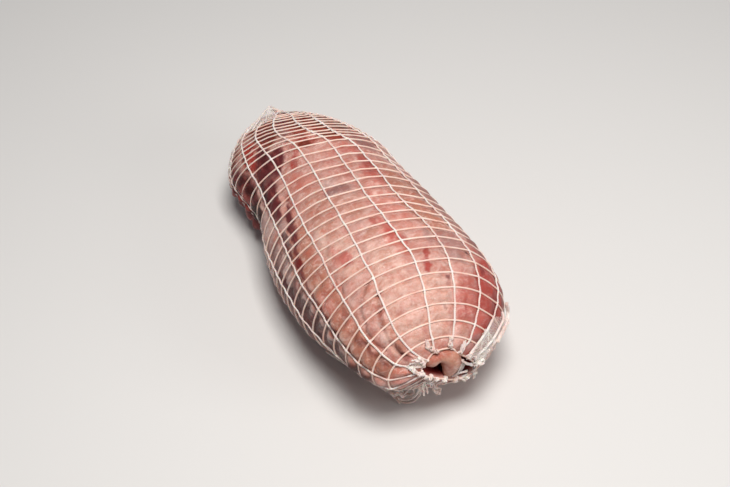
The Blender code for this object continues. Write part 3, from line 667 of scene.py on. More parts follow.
blush = node("ShaderNodeTexNoise", Vector=place, Scale=1 / 0.008, Detail=4.0, Roughness=0.6)
blotch_place = node("ShaderNodeMapping", Scale=(1 / 0.0029, 1 / 0.0068, 1 / 0.0048), Rotation=(0.0, 0.0, 0.35),
                    Vector=place)
blotches = node("ShaderNodeTexNoise", Vector=blotch_place.outputs[0], Scale=1.0, Detail=6.0, Roughness=0.66,
                Distortion=0.6)
streak_place = node("ShaderNodeMapping", Scale=(1 / 0.011, 1 / 0.0032, 1 / 0.0045), Rotation=(0.3, 0.2, 0.5),
                    Vector=place)
streaks = node("ShaderNodeTexNoise", Vector=streak_place.outputs[0], Scale=1.0, Detail=5.0, Roughness=0.55)
# Colours laid over each other between two values of a pattern: under the membrane a pink flush, pearly
# fat, peach and pale streaks, and in the bare lean lighter bundles of fibres
tone = uneven.outputs[0]
for pattern, low, high, most, only_on, code in (
    (blush, 0.50, 0.68, 0.46, covered.outputs[0], "ab4a40"),
    (blotches, 0.51, 0.66, 0.50, covered.outputs[0], "e6c2b6"),
    (blotches, 0.49, 0.34, 0.62, covered.outputs[0], "b76d57"),
    (streaks, 0.56, 0.66, 0.28, covered.outputs[0], "dfbcb0"),
    (streaks, 0.52, 0.68, 0.42, bare_at.outputs["Fac"], "a3524b"),
):
    amount = node("ShaderNodeMapRange", i0=pattern.outputs["Fac"], i1=low, i2=high, i3=0.0, i4=most)
    shown = node("ShaderNodeMath", {"operation": "MULTIPLY"}, i0=amount.outputs[0], i1=only_on)
    laid = node("ShaderNodeMix", {"data_type": "RGBA"}, i0=shown.outputs[0], i6=tone, i7=(*linear(code), 1.0))
    tone = laid.outputs[2]
lines = node("ShaderNodeTexNoise", Vector=place, Scale=1 / 0.012, Detail=3.0, Roughness=0.5)
line_off = node("ShaderNodeMath", {"operation": "SUBTRACT"}, i0=lines.outputs["Fac"], i1=0.5)
line_near = node("ShaderNodeMath", {"operation": "ABSOLUTE"}, i0=line_off.outputs[0])
line_at = node("ShaderNodeMapRange", i0=line_near.outputs[0], i1=0.0, i2=0.012, i3=0.15, i4=0.0)
line_shown = node("ShaderNodeMath", {"operation": "MULTIPLY"}, i0=line_at.outputs[0], i1=mottle_range.outputs[0])
lined = node("ShaderNodeMix", {"data_type": "RGBA"}, i0=line_shown.outputs[0], i6=tone,
             i7=(*linear("7b564d"), 1.0))
tree.links.new(lined.outputs[2], shader.inputs["Base Color"])
shader.inputs["Specular IOR Level"].default_value = 0.16
coat = node("ShaderNodeMapRange", i0=bare_at.outputs["Fac"], i1=0.0, i2=1.0, i3=0.90, i4=0.10)
tree.links.new(coat.outputs[0], shader.inputs["Coat Weight"])
wet_range = node("ShaderNodeMapRange", i0=mottle.outputs["Fac"], i1=0.35, i2=0.65, i3=0.38, i4=0.56)
tree.links.new(wet_range.outputs[0], shader.inputs["Roughness"])
shader.inputs["Subsurface Weight"].default_value = 0.15
shader.inputs["Subsurface Radius"].default_value = (1.0, 0.32, 0.2)
shader.inputs["Subsurface Scale"].default_value = 0.0022
shader.inputs["Coat Roughness"].default_value = 0.12
shader.inputs["Coat IOR"].default_value = 1.36
shader.inputs["IOR"].default_value = 1.40
height = node("ShaderNodeMath", {"operation": "ADD"}, i0=grain.outputs["Fac"], i1=fibres.outputs["Fac"])
lined_height = node("ShaderNodeMath", {"operation": "SUBTRACT"}, i0=height.outputs[0], i1=line_at.outputs[0])
bump = node("ShaderNodeBump", Height=lined_height.outputs[0], Strength=0.6, Distance=0.0007)
tree.links.new(bump.outputs[0], shader.inputs["Normal"])
# The wet film lies in small wrinkles 2 to 5 mm long, which break its shine into short streaks
wrinkle_place = node("ShaderNodeMapping", Scale=(1 / 0.0018, 1 / 0.0050, 1 / 0.0030), Rotation=(0.0, 0.0, 0.35),
                     Vector=place)
wrinkles = node("ShaderNodeTexNoise", Vector=wrinkle_place.outputs[0], Scale=1.0, Detail=3.0, Roughness=0.55)
wrinkle_bump = node("ShaderNodeBump", Height=wrinkles.outputs["Fac"], Strength=0.9, Distance=0.0022)
tree.links.new(wrinkle_bump.outputs[0], shader.inputs["Coat Normal"])
add_piece("lamb_roll", bm, raw_lamb, "raw_lamb", "meat")


# The rolled flap
# The end of the rolled sheet, folded over itself in the net's mouth: a small curl on the left and a
# broad tongue on the right, with a dark cleft between them.
FLAP_ROUTE = (
    (0.1020, -0.0070, 0.0560, 0.0030),
    (0.1090, -0.0080, 0.0585, 0.0040),
    (0.1146, -0.0080, 0.0600, 0.0045),
    (0.1170, -0.0056, 0.0602, 0.0044),
    (0.1164, -0.0022, 0.0612, 0.0034),
    (0.1174, 0.0028, 0.0606, 0.0050),
    (0.1178, 0.0060, 0.0568, 0.0062),
    (0.1181, 0.0064, 0.0520, 0.0062),
    (0.1183, 0.0055, 0.0473, 0.0048),
    (0.1185, 0.0044, 0.0432, 0.0031),
    (0.1160, 0.0036, 0.0390, 0.0016),
)
FLAP_RELIEF = ((0.006, 0.0005), (0.0022, 0.00018))
FLAP_COLOURS = ("c08a74", "ad6a58")
FLAP_BARE = 0.2


def add_curve(name, routes, radius, sides=0, resolution=1, kind="POLY"):
    """Round threads or tongues along routes of points, as a bmesh; a fourth number widens a point."""
    curve = bpy.data.curves.new(name, "CURVE")
    curve.dimensions = "3D"
    curve.bevel_depth = radius
    curve.bevel_resolution = sides
    curve.use_fill_caps = True
    curve.resolution_u = resolution
    for route in routes:
        spline = curve.splines.new(kind)
        spline.points.add(len(route) - 1)
        for point, spot in zip(spline.points, route):
            point.co = (spot[0], spot[1], spot[2], 1.0)
            point.radius = spot[3] if len(spot) > 3 else 1.0
        if kind == "NURBS":
            spline.use_endpoint_u = True
            spline.order_u = 4
    obj = bpy.data.objects.new(name, curve)
    bpy.context.scene.collection.objects.link(obj)
    mesh = bpy.data.meshes.new_from_object(obj.evaluated_get(bpy.context.evaluated_depsgraph_get()))
    bpy.data.objects.remove(obj)
    bpy.data.curves.remove(curve)
    bm = bmesh.new()
    bm.from_mesh(mesh)
    bpy.data.meshes.remove(mesh)
    return bm


bm = add_curve("flap", [FLAP_ROUTE], 1.0, sides=10, resolution=10, kind="NURBS")
bmesh.ops.recalc_face_normals(bm, faces=bm.faces)
flesh_and_painted_light_layer = bm.verts.layers.float_color.new("flesh")
bare_layer = bm.verts.layers.float.new("bare")
points = np.array([v.co[:] for v in bm.verts])
relief = sum(high * noise_at(points, size, 21 + seed) for seed, (size, high) in enumerate(FLAP_RELIEF))
rosy = smooth_step(-0.2, 0.5, noise_at(points, 0.007, 23))
tan_tone, rosy_tone = (np.array(linear(code)) for code in FLAP_COLOURS)
bm.normal_update()
for vert, shift, red in zip(bm.verts, relief, rosy):
    vert.co += vert.normal * float(shift)
    vert[flesh_and_painted_light_layer] = (*(tan_tone * (1 - red) + rosy_tone * red), 1.0)
    vert[bare_layer] = FLAP_BARE
add_piece("rolled_flap", bm, raw_lamb, "raw_lamb", "meat")


# The strands
# Sixteen knitted cords of white yarn, each a three-ply braid 1.4 mm wide, run the length of the roll
# over the elastic rings and draw together at both ends.
STRAND_SWAY = 0.00036
STRAND_LIFT = 0.00022
PLY_RADIUS = 0.00036
BRAID_PITCH = 0.0036
STRAND_STEP = 0.00065
STRAND_OUT = 0.00020
OVER_RINGS = 0.00025
STRAND_WAVER = 0.035
FIRST_STATION = -0.002
STRAND_END = 0.004
NET_FLOOR = 0.0010


def thread_line(ring, number, out):
    """Points, outward and sideways directions along one thread of the net."""
    station, angle = net_place(ring, number)
    station = np.clip(station, FIRST_STATION, FAR_STATION - NUDGE)
    points = layer_points(station, angle, out, NET_FLOOR)
    normal = outward(station, angle)
    return points, normal, np.cross(unit(np.gradient(points, axis=0)), normal)


def walked_along(points):
    """How far along a route each of its points lies."""
    return np.concatenate([[0.0], np.cumsum(np.linalg.norm(np.diff(points, axis=0), axis=1))])


def plies(points, normal, side, turned):
    """The three plies of a braid along these points."""
    walked = walked_along(points)
    turns = [math.tau * (walked / BRAID_PITCH + ply / 3 + turned) for ply in range(3)]
    return [points + side * (STRAND_SWAY * np.sin(turn))[:, None] + normal * (STRAND_LIFT * np.sin(2 * turn))[:, None]
            for turn in turns]


strand_routes = []
ring = ring_at(np.linspace(0.0, FAR_STATION - STRAND_END, int(FAR_STATION / STRAND_STEP)))
for number_of in range(STRANDS):
    waver = STRAND_WAVER * np.array([noise.noise(Vector((r * 0.8, number_of * 3.7, 0.5))) for r in ring])
    lifted = STRAND_OUT + OVER_RINGS * np.cos(ring * math.tau)
    strand_routes += plies(*thread_line(ring, number_of + waver, lifted), number_of * 0.37)
bm = add_curve("strands", strand_routes, PLY_RADIUS)


def yarn_material(name, colours, stain_size, stain_from, stain_to, fibre, relief, roughness):
    """Yarn of two shades, clean and stained by the meat, with fibres of that size standing in it."""
    material, tree, shader, node = new_material(name)
    place = node("ShaderNodeTexCoord").outputs["Object"]
    stain = node("ShaderNodeTexNoise", Vector=place, Scale=1 / stain_size, Detail=4.0, Roughness=0.6)
    stained = node("ShaderNodeMapRange", i0=stain.outputs["Fac"], i1=stain_from, i2=stain_to, i3=0.0, i4=1.0)
    clean, pink = ((*linear(code), 1.0) for code in colours)
    tone = node("ShaderNodeMix", {"data_type": "RGBA"}, i0=stained.outputs[0], i6=clean, i7=pink)
    tree.links.new(tone.outputs[2], shader.inputs["Base Color"])
    fibres = node("ShaderNodeTexNoise", Vector=place, Scale=1 / fibre, Detail=2.0)
    bump = node("ShaderNodeBump", Height=fibres.outputs["Fac"], Strength=relief, Distance=0.0002)
    tree.links.new(bump.outputs[0], shader.inputs["Normal"])
    shader.inputs["Roughness"].default_value = roughness
    shader.inputs["Subsurface Weight"].default_value = 0.15
    shader.inputs["Subsurface Scale"].default_value = 0.001
    return material, shader


# White knitted yarn of the strands: soft, matt and a little fluffy, stained pink by the meat
white_yarn, shader = yarn_material("white_knitted_yarn", ("f4e9e2", "e3bcb0"), stain_size=0.012, stain_from=0.35,
                                   stain_to=0.75, fibre=0.0004, relief=0.5, roughness=0.8)
shader.inputs["Sheen Weight"].default_value = 0.25
add_piece("net_strands", bm, white_yarn, "elastic_netting", "net")


# The rings
# One elastic thread, 1.1 mm across, wound with fine yarn. It is stretched tight, so it runs
# straight from strand to strand and sinks into the meat between them.
ELASTIC_RADIUS = 0.00057
ELASTIC_STEPS = 20
ELASTIC_OUT = -0.00030
UNDER_STRAND = 0.0003
RING_WAVER = 0.055
STRETCHED_RINGS = (17, 24)
STRETCHED_THINNER = 0.06


def noise_round(turn, size, seed):
    """Smooth noise at each turn of a closed ring."""
    return np.array([noise.noise(Vector((math.cos(t) * size, math.sin(t) * size, seed))) for t in turn])


ring_routes = []
number = np.linspace(0.0, STRANDS, STRANDS * ELASTIC_STEPS + 1)
out = ELASTIC_OUT + UNDER_STRAND * (np.cos(number * math.tau) * 0.5 + 0.5) ** 4
for ring_of in range(RINGS):
    waver = RING_WAVER * noise_round(number * math.tau / STRANDS, 2.2, ring_of * 5.1)
    points, _, _ = thread_line(ring_of + waver, number, out)
    thinner = 1 - STRETCHED_THINNER * smooth_step(*STRETCHED_RINGS, ring_of)
    ring_routes.append(np.column_stack([points, np.full(len(points), thinner)]))
bm = add_curve("rings", ring_routes, ELASTIC_RADIUS, sides=1)

# Elastic wound with cream yarn, wet with juice: it takes the meat's pink and shines a little
wound_elastic, _ = yarn_material("yarn_covered_elastic", ("f2e0d4", "e6b9a8"), stain_size=0.010, stain_from=0.3,
                                 stain_to=0.7, fibre=0.0005, relief=0.4, roughness=0.6)
add_piece("net_rings", bm, wound_elastic, "elastic_netting", "net")


# The knots
# Where a strand crosses a ring it is knitted round it, which makes a small hard lump. Round the cut
# mouth each strand ends in a bigger knot of its own yarn.
CROSSING_RADIUS = 0.00092
CROSSING_FLATNESS = 0.75
MOUTH_KNOT_RADIUS = 0.0012
MOUTH_KNOT_TURNS = 5
KNOT_TURN_STEPS = 14
KNOT_YARN = 0.00042
ROUTE_STEP = 0.0007
CURL_SIZE = 0.0026
YARN_FLOOR = 0.0009
rng = np.random.default_rng(7)
bm = bmesh.new()
crossings = [(r, n) for r in range(RINGS - 1) for n in range(STRANDS)]
crossing_ring, crossing_number = (np.array(v, dtype=float) for v in zip(*crossings))
lump_points, lump_normals, _ = thread_line(crossing_ring, crossing_number, STRAND_OUT)
for place_of, normal_of in zip(lump_points, lump_normals):
    radius = CROSSING_RADIUS * rng.uniform(0.82, 1.18)
    turned = Vector((0, 0, 1)).rotation_difference(Vector(normal_of)).to_matrix().to_4x4()
    flat = Matrix.Diagonal((radius, radius, radius * CROSSING_FLATNESS, 1.0))
    bmesh.ops.create_uvsphere(bm, u_segments=7, v_segments=5, radius=1.0,
                              matrix=Matrix.Translation(Vector(place_of)) @ turned @ flat)
add_piece("crossing_knots", bm, white_yarn, "elastic_netting", "net")


def ball_of_yarn(centre, radius, seed):
    """A thread wound round and round a point, as a knot."""
    picked = np.random.default_rng(seed)
    turn = np.linspace(0.0, math.tau * MOUTH_KNOT_TURNS, MOUTH_KNOT_TURNS * KNOT_TURN_STEPS)
    tilt = picked.uniform(0.25, 0.45)
    wound = unit(np.stack([np.cos(turn), np.sin(turn), np.sin(turn * tilt + picked.uniform(0, 6))], axis=-1))
    turned = Vector(picked.normal(size=3)).to_track_quat("Z", "Y").to_matrix()
    wound = wound @ np.array(turned) * radius * picked.uniform(0.8, 1.1, size=(len(turn), 1))
    return np.array(centre) + wound


def smooth_route(points, step=ROUTE_STEP):
    """A smooth route in metres through points given in millimetres."""
    points = np.array(points, dtype=float) * 0.001
    walked = walked_along(points)
    slopes = np.gradient(points, walked, axis=0)
    places = np.linspace(0.0, walked[-1], max(int(walked[-1] / step), 4))
    at = np.clip(np.searchsorted(walked, places, side="right") - 1, 0, len(points) - 2)
    gap = (walked[at + 1] - walked[at])[:, None]
    t = (places - walked[at])[:, None] / gap
    return ((2 * t ** 3 - 3 * t ** 2 + 1) * points[at] + (t ** 3 - 2 * t ** 2 + t) * gap * slopes[at]
            + (3 * t ** 2 - 2 * t ** 3) * points[at + 1] + (t ** 3 - t ** 2) * gap * slopes[at + 1])


def bundle(points, count, start_spread, end_spread, curl, seed):
    """Threads that run together along a route and spread apart, with curls of that size in metres."""
    picked = np.random.default_rng(seed)
    plain = smooth_route(points)
    share = np.linspace(0.0, 1.0, len(plain))[:, None]
    routes = []
    for _ in range(count):
        aside = picked.normal(size=3)
        aside *= picked.uniform(0.3, 1.0) / np.linalg.norm(aside)
        apart = aside * (start_spread * (1 - share) + end_spread * share)
        phase = picked.uniform(0, 50, size=3)
        curls = np.array([[noise.noise(Vector((p + at / CURL_SIZE, p, 0.0))) for p in phase]
                          for at in np.arange(len(plain)) * ROUTE_STEP])
        routes.append(plain + apart + curls * curl * 2)
    return routes


def clear_of_floor(routes):
    """The same routes, lifted where they would go through the floor."""
    for route in routes:
        route[:, 2] = np.maximum(route[:, 2], YARN_FLOOR)
    return routes


# The mouth's knots, tufts and slack loops
# The sleeve was cut off here, so its strands end in knots and frayed tufts round the mouth. Some of the
# yarn hangs under it in loops down to the board, and more is bunched at the mouth's +Y side.
# Knots: place in millimetres and radius in metres
MOUTH_KNOTS = (
    (114.5, 7.2, 71.0, 0.0010), (116.8, 5.7, 68.5, 0.0014), (114.3, -7.9, 71.2, 0.0011), (115.6, -5.8, 69.8, 0.0013),
    (117.2, -3.2, 67.9, 0.0011), (117.0, -14.3, 66.8, 0.0011), (118.4, -13.4, 65.1, 0.0013),
    (119.3, -12.8, 63.6, 0.0010), (118.4, -20.3, 63.0, 0.0011), (119.7, -18.9, 61.4, 0.0014),
    (121.6, -16.0, 58.4, 0.0013), (119.1, 12.9, 65.6, 0.0012), (122.0, 16.0, 57.0, 0.0012),
    (122.9, 20.1, 50.6, 0.0014), (124.0, 22.6, 49.2, 0.0012), (122.4, 20.5, 42.5, 0.0012),
    (120.8, 9.5, 37.6, 0.0012), (121.4, 1.6, 43.4, 0.0012), (121.2, -8.5, 51.0, 0.0013),
)
# Tufts: route in millimetres, threads, spread at the start and end and curls in metres
TUFTS = (
    (((115.2, -7.6, 70.4), (113.4, -7.8, 73.0), (112.1, -8.0, 74.6)), 7, 0.0008, 0.0011, 0.0005),
    (((119.4, -12.8, 63.6), (117.6, -14.6, 65.6), (116.4, -17.6, 67.2)), 8, 0.0006, 0.0016, 0.0005),
    (((121.8, -15.6, 58.2), (119.7, -19.1, 61.3), (118.4, -20.7, 63.4)), 8, 0.0010, 0.0012, 0.0005),
    (((117.6, 14.6, 67.4), (119.1, 13.0, 65.7), (121.0, 11.0, 63.2)), 11, 0.0008, 0.0016, 0.0006),
    (((116.8, 5.8, 68.2), (115.8, 6.2, 70.0), (114.3, 7.4, 71.4)), 6, 0.0009, 0.0006, 0.0003),
    (((119.6, 22.0, 60.4), (121.4, 18.0, 58.6), (122.4, 14.4, 57.4)), 7, 0.0004, 0.0022, 0.0005),
    (((121.4, 25.0, 51.4), (123.0, 21.6, 50.6), (123.6, 19.6, 49.2)), 12, 0.0008, 0.0018, 0.0006),
    (((98.0, 54.4, 57.4), (100.5, 54.6, 51.6), (104.3, 52.2, 49.4), (109.8, 46.5, 50.4), (115.8, 38.8, 50.6)),
     34, 0.0011, 0.0009, 0.0003),
    (((98.6, 54.8, 56.0), (101.2, 54.4, 50.8), (104.6, 52.0, 48.8), (107.6, 48.8, 49.2)),
     26, 0.0008, 0.0012, 0.0003),
    (((119.6, -8.6, 45.5), (118.6, -6.4, 40.0), (117.5, -3.8, 32.7), (117.0, 0.6, 22.0)),
     20, 0.0012, 0.0021, 0.0010),
    (((119.2, -12.0, 47.0), (117.8, -11.0, 39.0), (116.6, -9.6, 29.5)), 30, 0.0010, 0.0032, 0.0003),
    (((104.0, -24.0, 18.5), (105.6, -20.0, 17.5), (107.2, -17.4, 16.0)), 7, 0.0016, 0.0018, 0.0008),
    (((121.4, 9.4, 37.4), (122.5, 13.8, 34.5), (122.3, 14.6, 32.4)), 4, 0.0004, 0.0012, 0.0006),
    (((122.3, 19.4, 41.0), (123.1, 20.6, 36.6), (122.6, 20.2, 33.6)), 4, 0.0004, 0.0012, 0.0006),
    (((121.2, 1.6, 43.6), (122.2, 1.9, 41.2), (121.6, 2.6, 39.0)), 3, 0.0004, 0.0009, 0.0004),
    (((121.0, 11.9, 54.5), (121.6, 14.5, 50.4), (122.4, 17.6, 48.4), (123.2, 21.3, 47.0)),
     15, 0.0005, 0.0008, 0.0004),
    (((120.4, 6.6, 40.0), (121.0, 11.4, 41.3), (121.8, 16.4, 41.1)), 4, 0.0005, 0.0007, 0.0002),
    (((120.8, 12.0, 50.4), (120.8, 11.2, 45.0), (120.2, 8.6, 39.0)), 4, 0.0006, 0.0005, 0.0002),
    (((121.4, 16.6, 37.6), (121.0, 12.6, 36.4), (120.0, 8.0, 36.0)), 5, 0.0006, 0.0007, 0.0003),
)
# Loops of whole strand that hang under the mouth, and one that is pulled straight along the -Y side
LOOPS = (
    ((84.0, -30.0, 10.5), (91.4, -25.3, 9.0), (95.9, -20.6, 4.5), (100.8, -18.4, 2.4), (104.3, -14.5, 1.8),
     (105.9, -9.5, 3.2), (106.5, -6.9, 8.0), (108.4, -7.0, 17.0), (113.0, -8.4, 33.0), (117.0, -9.4, 43.0)),
    ((88.0, -27.0, 10.0), (96.3, -20.8, 7.0), (99.8, -18.4, 4.2), (103.1, -15.2, 3.8), (105.1, -11.5, 6.0),
     (106.7, -8.9, 11.0), (108.2, -8.4, 17.0), (112.4, -9.6, 31.0), (117.2, -10.4, 43.0)),
    ((96.0, -17.0, 13.0), (99.3, -15.5, 11.0), (101.7, -12.5, 6.4), (103.1, -10.4, 7.2), (104.4, -9.2, 12.0),
     (104.0, -10.8, 16.0), (102.4, -12.3, 12.0), (101.6, -14.6, 7.4)),
    ((56.0, -46.5, 14.0), (68.6, -38.0, 10.5), (79.5, -31.6, 8.5), (90.9, -24.6, 6.5), (98.1, -20.0, 5.2),
     (105.4, -19.4, 6.4)),
)
# Three strands at the mouth's +Y side that stand off the roll, with the sleeve's web between them
FILM_RAILS = (
    ((108.0, 38.6, 62.4), (113.5, 32.0, 62.9), (118.6, 23.4, 61.7), (121.6, 16.6, 58.8)),
    ((101.4, 49.6, 55.6), (104.0, 49.0, 55.4), (110.7, 42.2, 55.0), (116.0, 35.1, 55.0), (119.7, 28.2, 55.6),
     (122.6, 19.6, 54.6)),
    ((101.6, 51.0, 49.6), (104.6, 51.2, 49.0), (108.6, 46.6, 48.4), (117.3, 34.6, 51.4), (121.2, 27.0, 50.8),
     (123.7, 20.6, 50.2)),
)
# Sheets of web between such threads, beside the tongue and on the mouth's lower lip
MOUTH_FILMS = (
    (((119.8, 12.2, 54.6), (119.8, 11.4, 47.9), (119.4, 9.4, 41.0), (118.9, 5.9, 35.3)),
     ((120.8, 15.1, 49.7), (120.4, 13.7, 43.8), (119.8, 11.7, 37.9), (119.4, 8.8, 34.0))),
    (((118.0, -10.6, 48.9), (117.4, -4.8, 41.9), (117.4, 2.3, 35.6), (118.2, 8.8, 32.9), (119.6, 14.8, 33.9),
      (121.2, 19.1, 38.6)),
     ((119.4, -11.1, 45.2), (119.4, -4.9, 39.7), (119.6, 2.5, 34.6), (120.2, 9.9, 31.1), (121.6, 15.8, 32.1),
      (122.6, 21.1, 37.5))),
)
CURLED_END = (
    (123.4, 20.0, 51.0), (124.9, 21.6, 49.6), (124.4, 24.9, 48.3), (123.6, 24.9, 50.6), (124.0, 22.9, 50.9))
TUFT_YARN = 0.00031
LOOP_PLY = 0.00058
# The strands on the underside, which end in plain knots, and how far these stand out
UNDER_STRANDS = np.arange(5.0, 13.0)
UNDER_KNOTS_OUT = 0.0006

knots = [ball_of_yarn(np.array(knot[:3]) * 0.001, knot[3], 40 + at) for at, knot in enumerate(MOUTH_KNOTS)]
under_points, _, _ = thread_line(np.zeros_like(UNDER_STRANDS), UNDER_STRANDS, UNDER_KNOTS_OUT)
knots += [ball_of_yarn(spot, MOUTH_KNOT_RADIUS, 80 + at) for at, spot in enumerate(under_points)]
bm = add_curve("mouth_knots", clear_of_floor(knots), KNOT_YARN)
add_piece("mouth_knots", bm, white_yarn, "elastic_netting", "net")

tufts = []
for at, (route, *threads) in enumerate(TUFTS):
    tufts += bundle(route, *threads, 100 + at)
bm = add_curve("mouth_tufts", clear_of_floor(tufts), TUFT_YARN)
add_piece("mouth_tufts", bm, white_yarn, "elastic_netting", "net")

loops = []
for at, route in enumerate((*LOOPS, *FILM_RAILS, CURLED_END)):
    points = smooth_route(route, STRAND_STEP)
    ahead = unit(np.gradient(points, axis=0))
    side = unit(np.cross(ahead, (0.3, 0.5, 0.81)))
    loops += plies(points, np.cross(side, ahead), side, at * 0.21)
bm = add_curve("slack_loops", clear_of_floor(loops), LOOP_PLY)
add_piece("slack_loops", bm, white_yarn, "elastic_netting", "net")


# The gathered end
# At the far end the sleeve is drawn together and tied: its strands bunch in a neck, wound round with
# elastic, and end behind the roll in a short tail of loose yarn.
GATHER_YARN = 0.00034
NECK_BACK = 0.0052
NECK_OUT = 0.0002
NECK_RADIUS = 0.0036
NECK_TURNS = 9
NECK_TURN_STEPS = 36
TAIL_LENGTH = 0.0105
TAIL_WAY = (-0.935, -0.292, -0.201)
TAIL_JITTER = 0.0006
NECK_UNEVENNESS = 0.25
NECK_TILT = 0.0012
NECK_ROUGHNESS = 0.0008
# Where the strands turn into the neck, and how far from the net's end they still lie on the roll
BUNCHED_SHARE = 0.35
BUNCHED_OUT = 0.0006
TAIL_BOW = 0.0008
LAST_HOLD = 0.006
# On the slack side the net stands off the roll in a small peak: the rings and strands it is drawn from
PEAK = (-0.1100, -0.0140, 0.0668)
PEAK_STRANDS = ((26.4, -5.0), (27.0, -4.0), (27.6, -3.2), (28.0, -2.4), (28.6, -1.6), (30.4, -0.9))
PEAK_SHARE = 0.55
PEAK_BOW = 0.0003
# Threads, spread at the start and end and curls in metres, as for the tufts
TAIL_THREADS = (4, 0.0003, 0.0009, 0.0003)
PEAK_THREADS = (3, 0.0003, 0.0005, 0.0002)
PEAK_RIDGE_THREADS = (12, 0.0008, 0.0014, 0.0004)
all_strands = np.arange(STRANDS, dtype=float)
inside_neck = np.full(STRANDS, FAR_STATION - NECK_BACK / 2)
around = strand_angle(all_strands, inside_neck)
pole = (roll_points(inside_neck[0], 0.0) + roll_points(inside_neck[0], math.pi)) / 2
away = unit(outward(inside_neck - NECK_BACK / 2, around).sum(axis=0))
neck = pole + away * NECK_OUT
tail_way = np.array(TAIL_WAY)
across = unit(np.cross(away, (0.0, 1.0, 0.0)))
aside = np.cross(away, across)
gathered = []
rng = np.random.default_rng(11)
for turn_of in range(NECK_TURNS):
    turn = np.linspace(0.0, math.tau, NECK_TURN_STEPS)
    rough = noise_round(turn, 1.8, turn_of * 3.3)
    reach = NECK_RADIUS * rng.uniform(0.5, 1.15) * (1 + NECK_UNEVENNESS * rough)
    height = rng.uniform(-0.0012, 0.0016)
    height = height + rng.uniform(-NECK_TILT, NECK_TILT) * np.cos(turn + rng.uniform(0, 6)) + NECK_ROUGHNESS * rough
    gathered.append(neck + (reach * np.cos(turn))[:, None] * across + (reach * np.sin(turn))[:, None] * aside
                    + height[:, None] * away)
ends, _, _ = thread_line(np.full(STRANDS, ring_at(FAR_STATION - LAST_HOLD)), all_strands, STRAND_OUT)
for at, end in enumerate(ends):
    bunched = neck + (end - neck) * BUNCHED_SHARE + away * BUNCHED_OUT
    tip = neck + tail_way * TAIL_LENGTH * rng.uniform(0.6, 1.0) + rng.normal(size=3) * TAIL_JITTER
    route = np.array((end, bunched, (bunched + tip) / 2 + away * TAIL_BOW, tip)) * 1000
    gathered += bundle(route, *TAIL_THREADS, 200 + at)
peak_rails = []
for at, (ring_from, number_from) in enumerate(PEAK_STRANDS):
    start = thread_line(np.full(2, ring_from), np.full(2, number_from), STRAND_OUT)[0][0]
    middle = start * (1 - PEAK_SHARE) + np.array(PEAK) * PEAK_SHARE + away * PEAK_BOW
    route = np.array((start, middle, PEAK)) * 1000
    peak_rails.append(route)
    gathered += bundle(route, *PEAK_THREADS, 260 + at)
gathered += bundle(np.array((PEAK, (neck + PEAK) / 2, neck)) * 1000, *PEAK_RIDGE_THREADS, 290)
bm = add_curve("gather", clear_of_floor(gathered), GATHER_YARN)
add_piece("gathered_tail", bm, white_yarn, "elastic_netting", "net")


# The net's finest threads
# Between the strands the sleeve has a thin see-through web. It shows as whitish film where the net is
# bunched or stands off the meat: beside the mouth and over the gathered end.
WEB_YARN = 0.00011
WEB_STEPS = 26
WEB_WAVE = 0.06
WEB_UNEVENNESS = 0.04
WEB_LIFT_WAVE = 0.0004
SHEET_STEPS = 24
# First ring, last ring, first strand, last strand, threads each way, height over the roll
WEBS = (
    (0.15, 2.0, 2.55, 4.1, 22, 16, 0.0018),
    (0.05, 0.55, -2.1, -1.2, 14, 8, 0.0010),
    (21.6, 27.0, -5.6, -4.0, 9, 14, 0.0012),
)


def film(rails, along_count, across_count):
    """Fine threads both ways over a sheet that hangs between routes given in millimetres."""
    rails = [smooth_route(rail) for rail in rails]
    share = np.linspace(0.0, 1.0, SHEET_STEPS)
    rails = np.array([[np.interp(share, np.linspace(0.0, 1.0, len(rail)), rail[:, axis]) for axis in range(3)]
                      for rail in rails])
    at_rail = np.linspace(0.0, len(rails) - 1, along_count)
    sheet = np.array([[np.interp(at_rail, np.arange(len(rails)), rails[:, axis, step]) for axis in range(3)]
                      for step in range(len(share))])
    lines = [sheet[:, :, line] for line in range(along_count)]
    for line in range(across_count):
        step = line * (len(share) - 1) / max(across_count - 1, 1)
        low = int(min(step, len(share) - 2))
        lines.append((sheet[low] + (sheet[low + 1] - sheet[low]) * (step - low)).T)
    return lines


webs = []
# Each sheet's rails, then its threads along them and across
for rails, *counts in ((FILM_RAILS, 17, 26), (peak_rails, 22, 20), *((sheet, 10, 30) for sheet in MOUTH_FILMS)):
    webs += film(rails, *counts)
for at, (ring0, ring1, number0, number1, along_count, across_count, high) in enumerate(WEBS):
    picked = np.random.default_rng(300 + at)
    for line in range(along_count):
        rings = np.linspace(ring0, ring1, WEB_STEPS)
        numbers = number0 + (number1 - number0) * (line + 0.5) / along_count
        numbers = numbers + WEB_WAVE * np.sin(rings * 5 + line) + picked.uniform(-WEB_UNEVENNESS, WEB_UNEVENNESS)
        webs.append(thread_line(rings, numbers, high + WEB_LIFT_WAVE * np.sin(rings * 7 + line * 0.6))[0])
    for line in range(across_count):
        numbers = np.linspace(number0, number1, WEB_STEPS)
        rings = ring0 + (ring1 - ring0) * (line + 0.5) / across_count
        rings = rings + WEB_WAVE * np.sin(numbers * 6 + line) + picked.uniform(-WEB_UNEVENNESS, WEB_UNEVENNESS)
        webs.append(thread_line(rings, numbers, high + WEB_LIFT_WAVE * np.sin(numbers * 9 + line * 0.6))[0])
bm = add_curve("webs", webs, WEB_YARN)
add_piece("net_web", bm, white_yarn, "elastic_netting", "net")


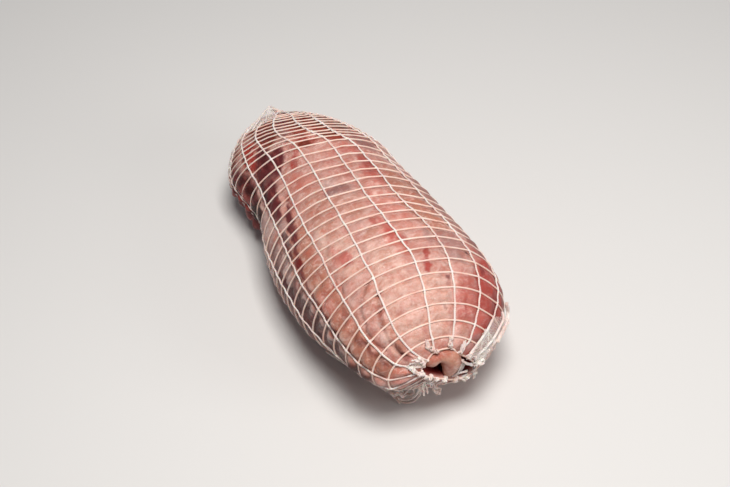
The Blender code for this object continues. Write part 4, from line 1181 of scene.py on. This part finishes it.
# The floor, the light and the camera
# A plain pale sheet under soft studio light, seen from the photograph's angle.
FLOOR_SIZE = 6.0
bm = bmesh.new()
bmesh.ops.create_grid(bm, x_segments=1, y_segments=1, size=FLOOR_SIZE / 2)
mesh = bpy.data.meshes.new("floor")
bm.to_mesh(mesh)
bm.free()
floor = bpy.data.objects.new("floor", mesh)
bpy.context.scene.collection.objects.link(floor)
paper, _, shader, _ = new_material("pale_studio_paper")
shader.inputs["Base Color"].default_value = (*linear("dcdad7"), 1.0)
shader.inputs["Roughness"].default_value = 0.85
mesh.materials.append(paper)


def add_light(name, place, aim, size, watts, colour):
    """A soft square light at a place, turned to a point."""
    data = bpy.data.lights.new(name, "AREA")
    data.shape = "SQUARE"
    data.size = size
    data.energy = watts
    data.color = colour
    light = bpy.data.objects.new(name, data)
    bpy.context.scene.collection.objects.link(light)
    light.location = place
    light.rotation_euler = (Vector(aim) - Vector(place)).to_track_quat("-Z", "Y").to_euler()


add_light("overhead", (0.24, -0.04, 1.05), (0.02, 0, 0.04), 0.38, 11.5, (1.0, 0.98, 0.96))
add_light("side", (0.85, 0.75, 0.62), (0, 0, 0.04), 0.5, 2.6, (1.0, 0.98, 0.96))
world = bpy.data.worlds.new("studio")
world.use_nodes = True
world.node_tree.nodes["Background"].inputs["Color"].default_value = (0.9, 0.92, 1.0, 1.0)
world.node_tree.nodes["Background"].inputs["Strength"].default_value = 0.15
bpy.context.scene.world = world

TARGET = Vector((0.042, -0.001, 0.050))
DISTANCE = 0.7254
AZIMUTH = math.radians(63.42)
ELEVATION = math.radians(51.95)
FOCAL_PIXELS = 1171.1
PICTURE_WIDTH = 730
SENSOR = 36.0
ACROSS = 18.41
DOWN = 31.51
back = Vector((math.sin(AZIMUTH) * math.cos(ELEVATION), -math.cos(AZIMUTH) * math.cos(ELEVATION), math.sin(ELEVATION)))
right = Vector((math.cos(AZIMUTH), math.sin(AZIMUTH), 0.0))
upward = back.cross(right)
aim = TARGET + (upward * DOWN - right * ACROSS) * (DISTANCE / FOCAL_PIXELS)
eye = TARGET + back * DISTANCE
camera_data = bpy.data.cameras.new("camera")
camera_data.sensor_width = SENSOR
camera_data.lens = SENSOR * FOCAL_PIXELS / PICTURE_WIDTH
camera = bpy.data.objects.new("camera", camera_data)
bpy.context.scene.collection.objects.link(camera)
camera.location = eye
camera.rotation_euler = (aim - eye).to_track_quat("-Z", "Y").to_euler()
bpy.context.scene.camera = camera
bpy.context.scene.view_settings.view_transform = "Standard"
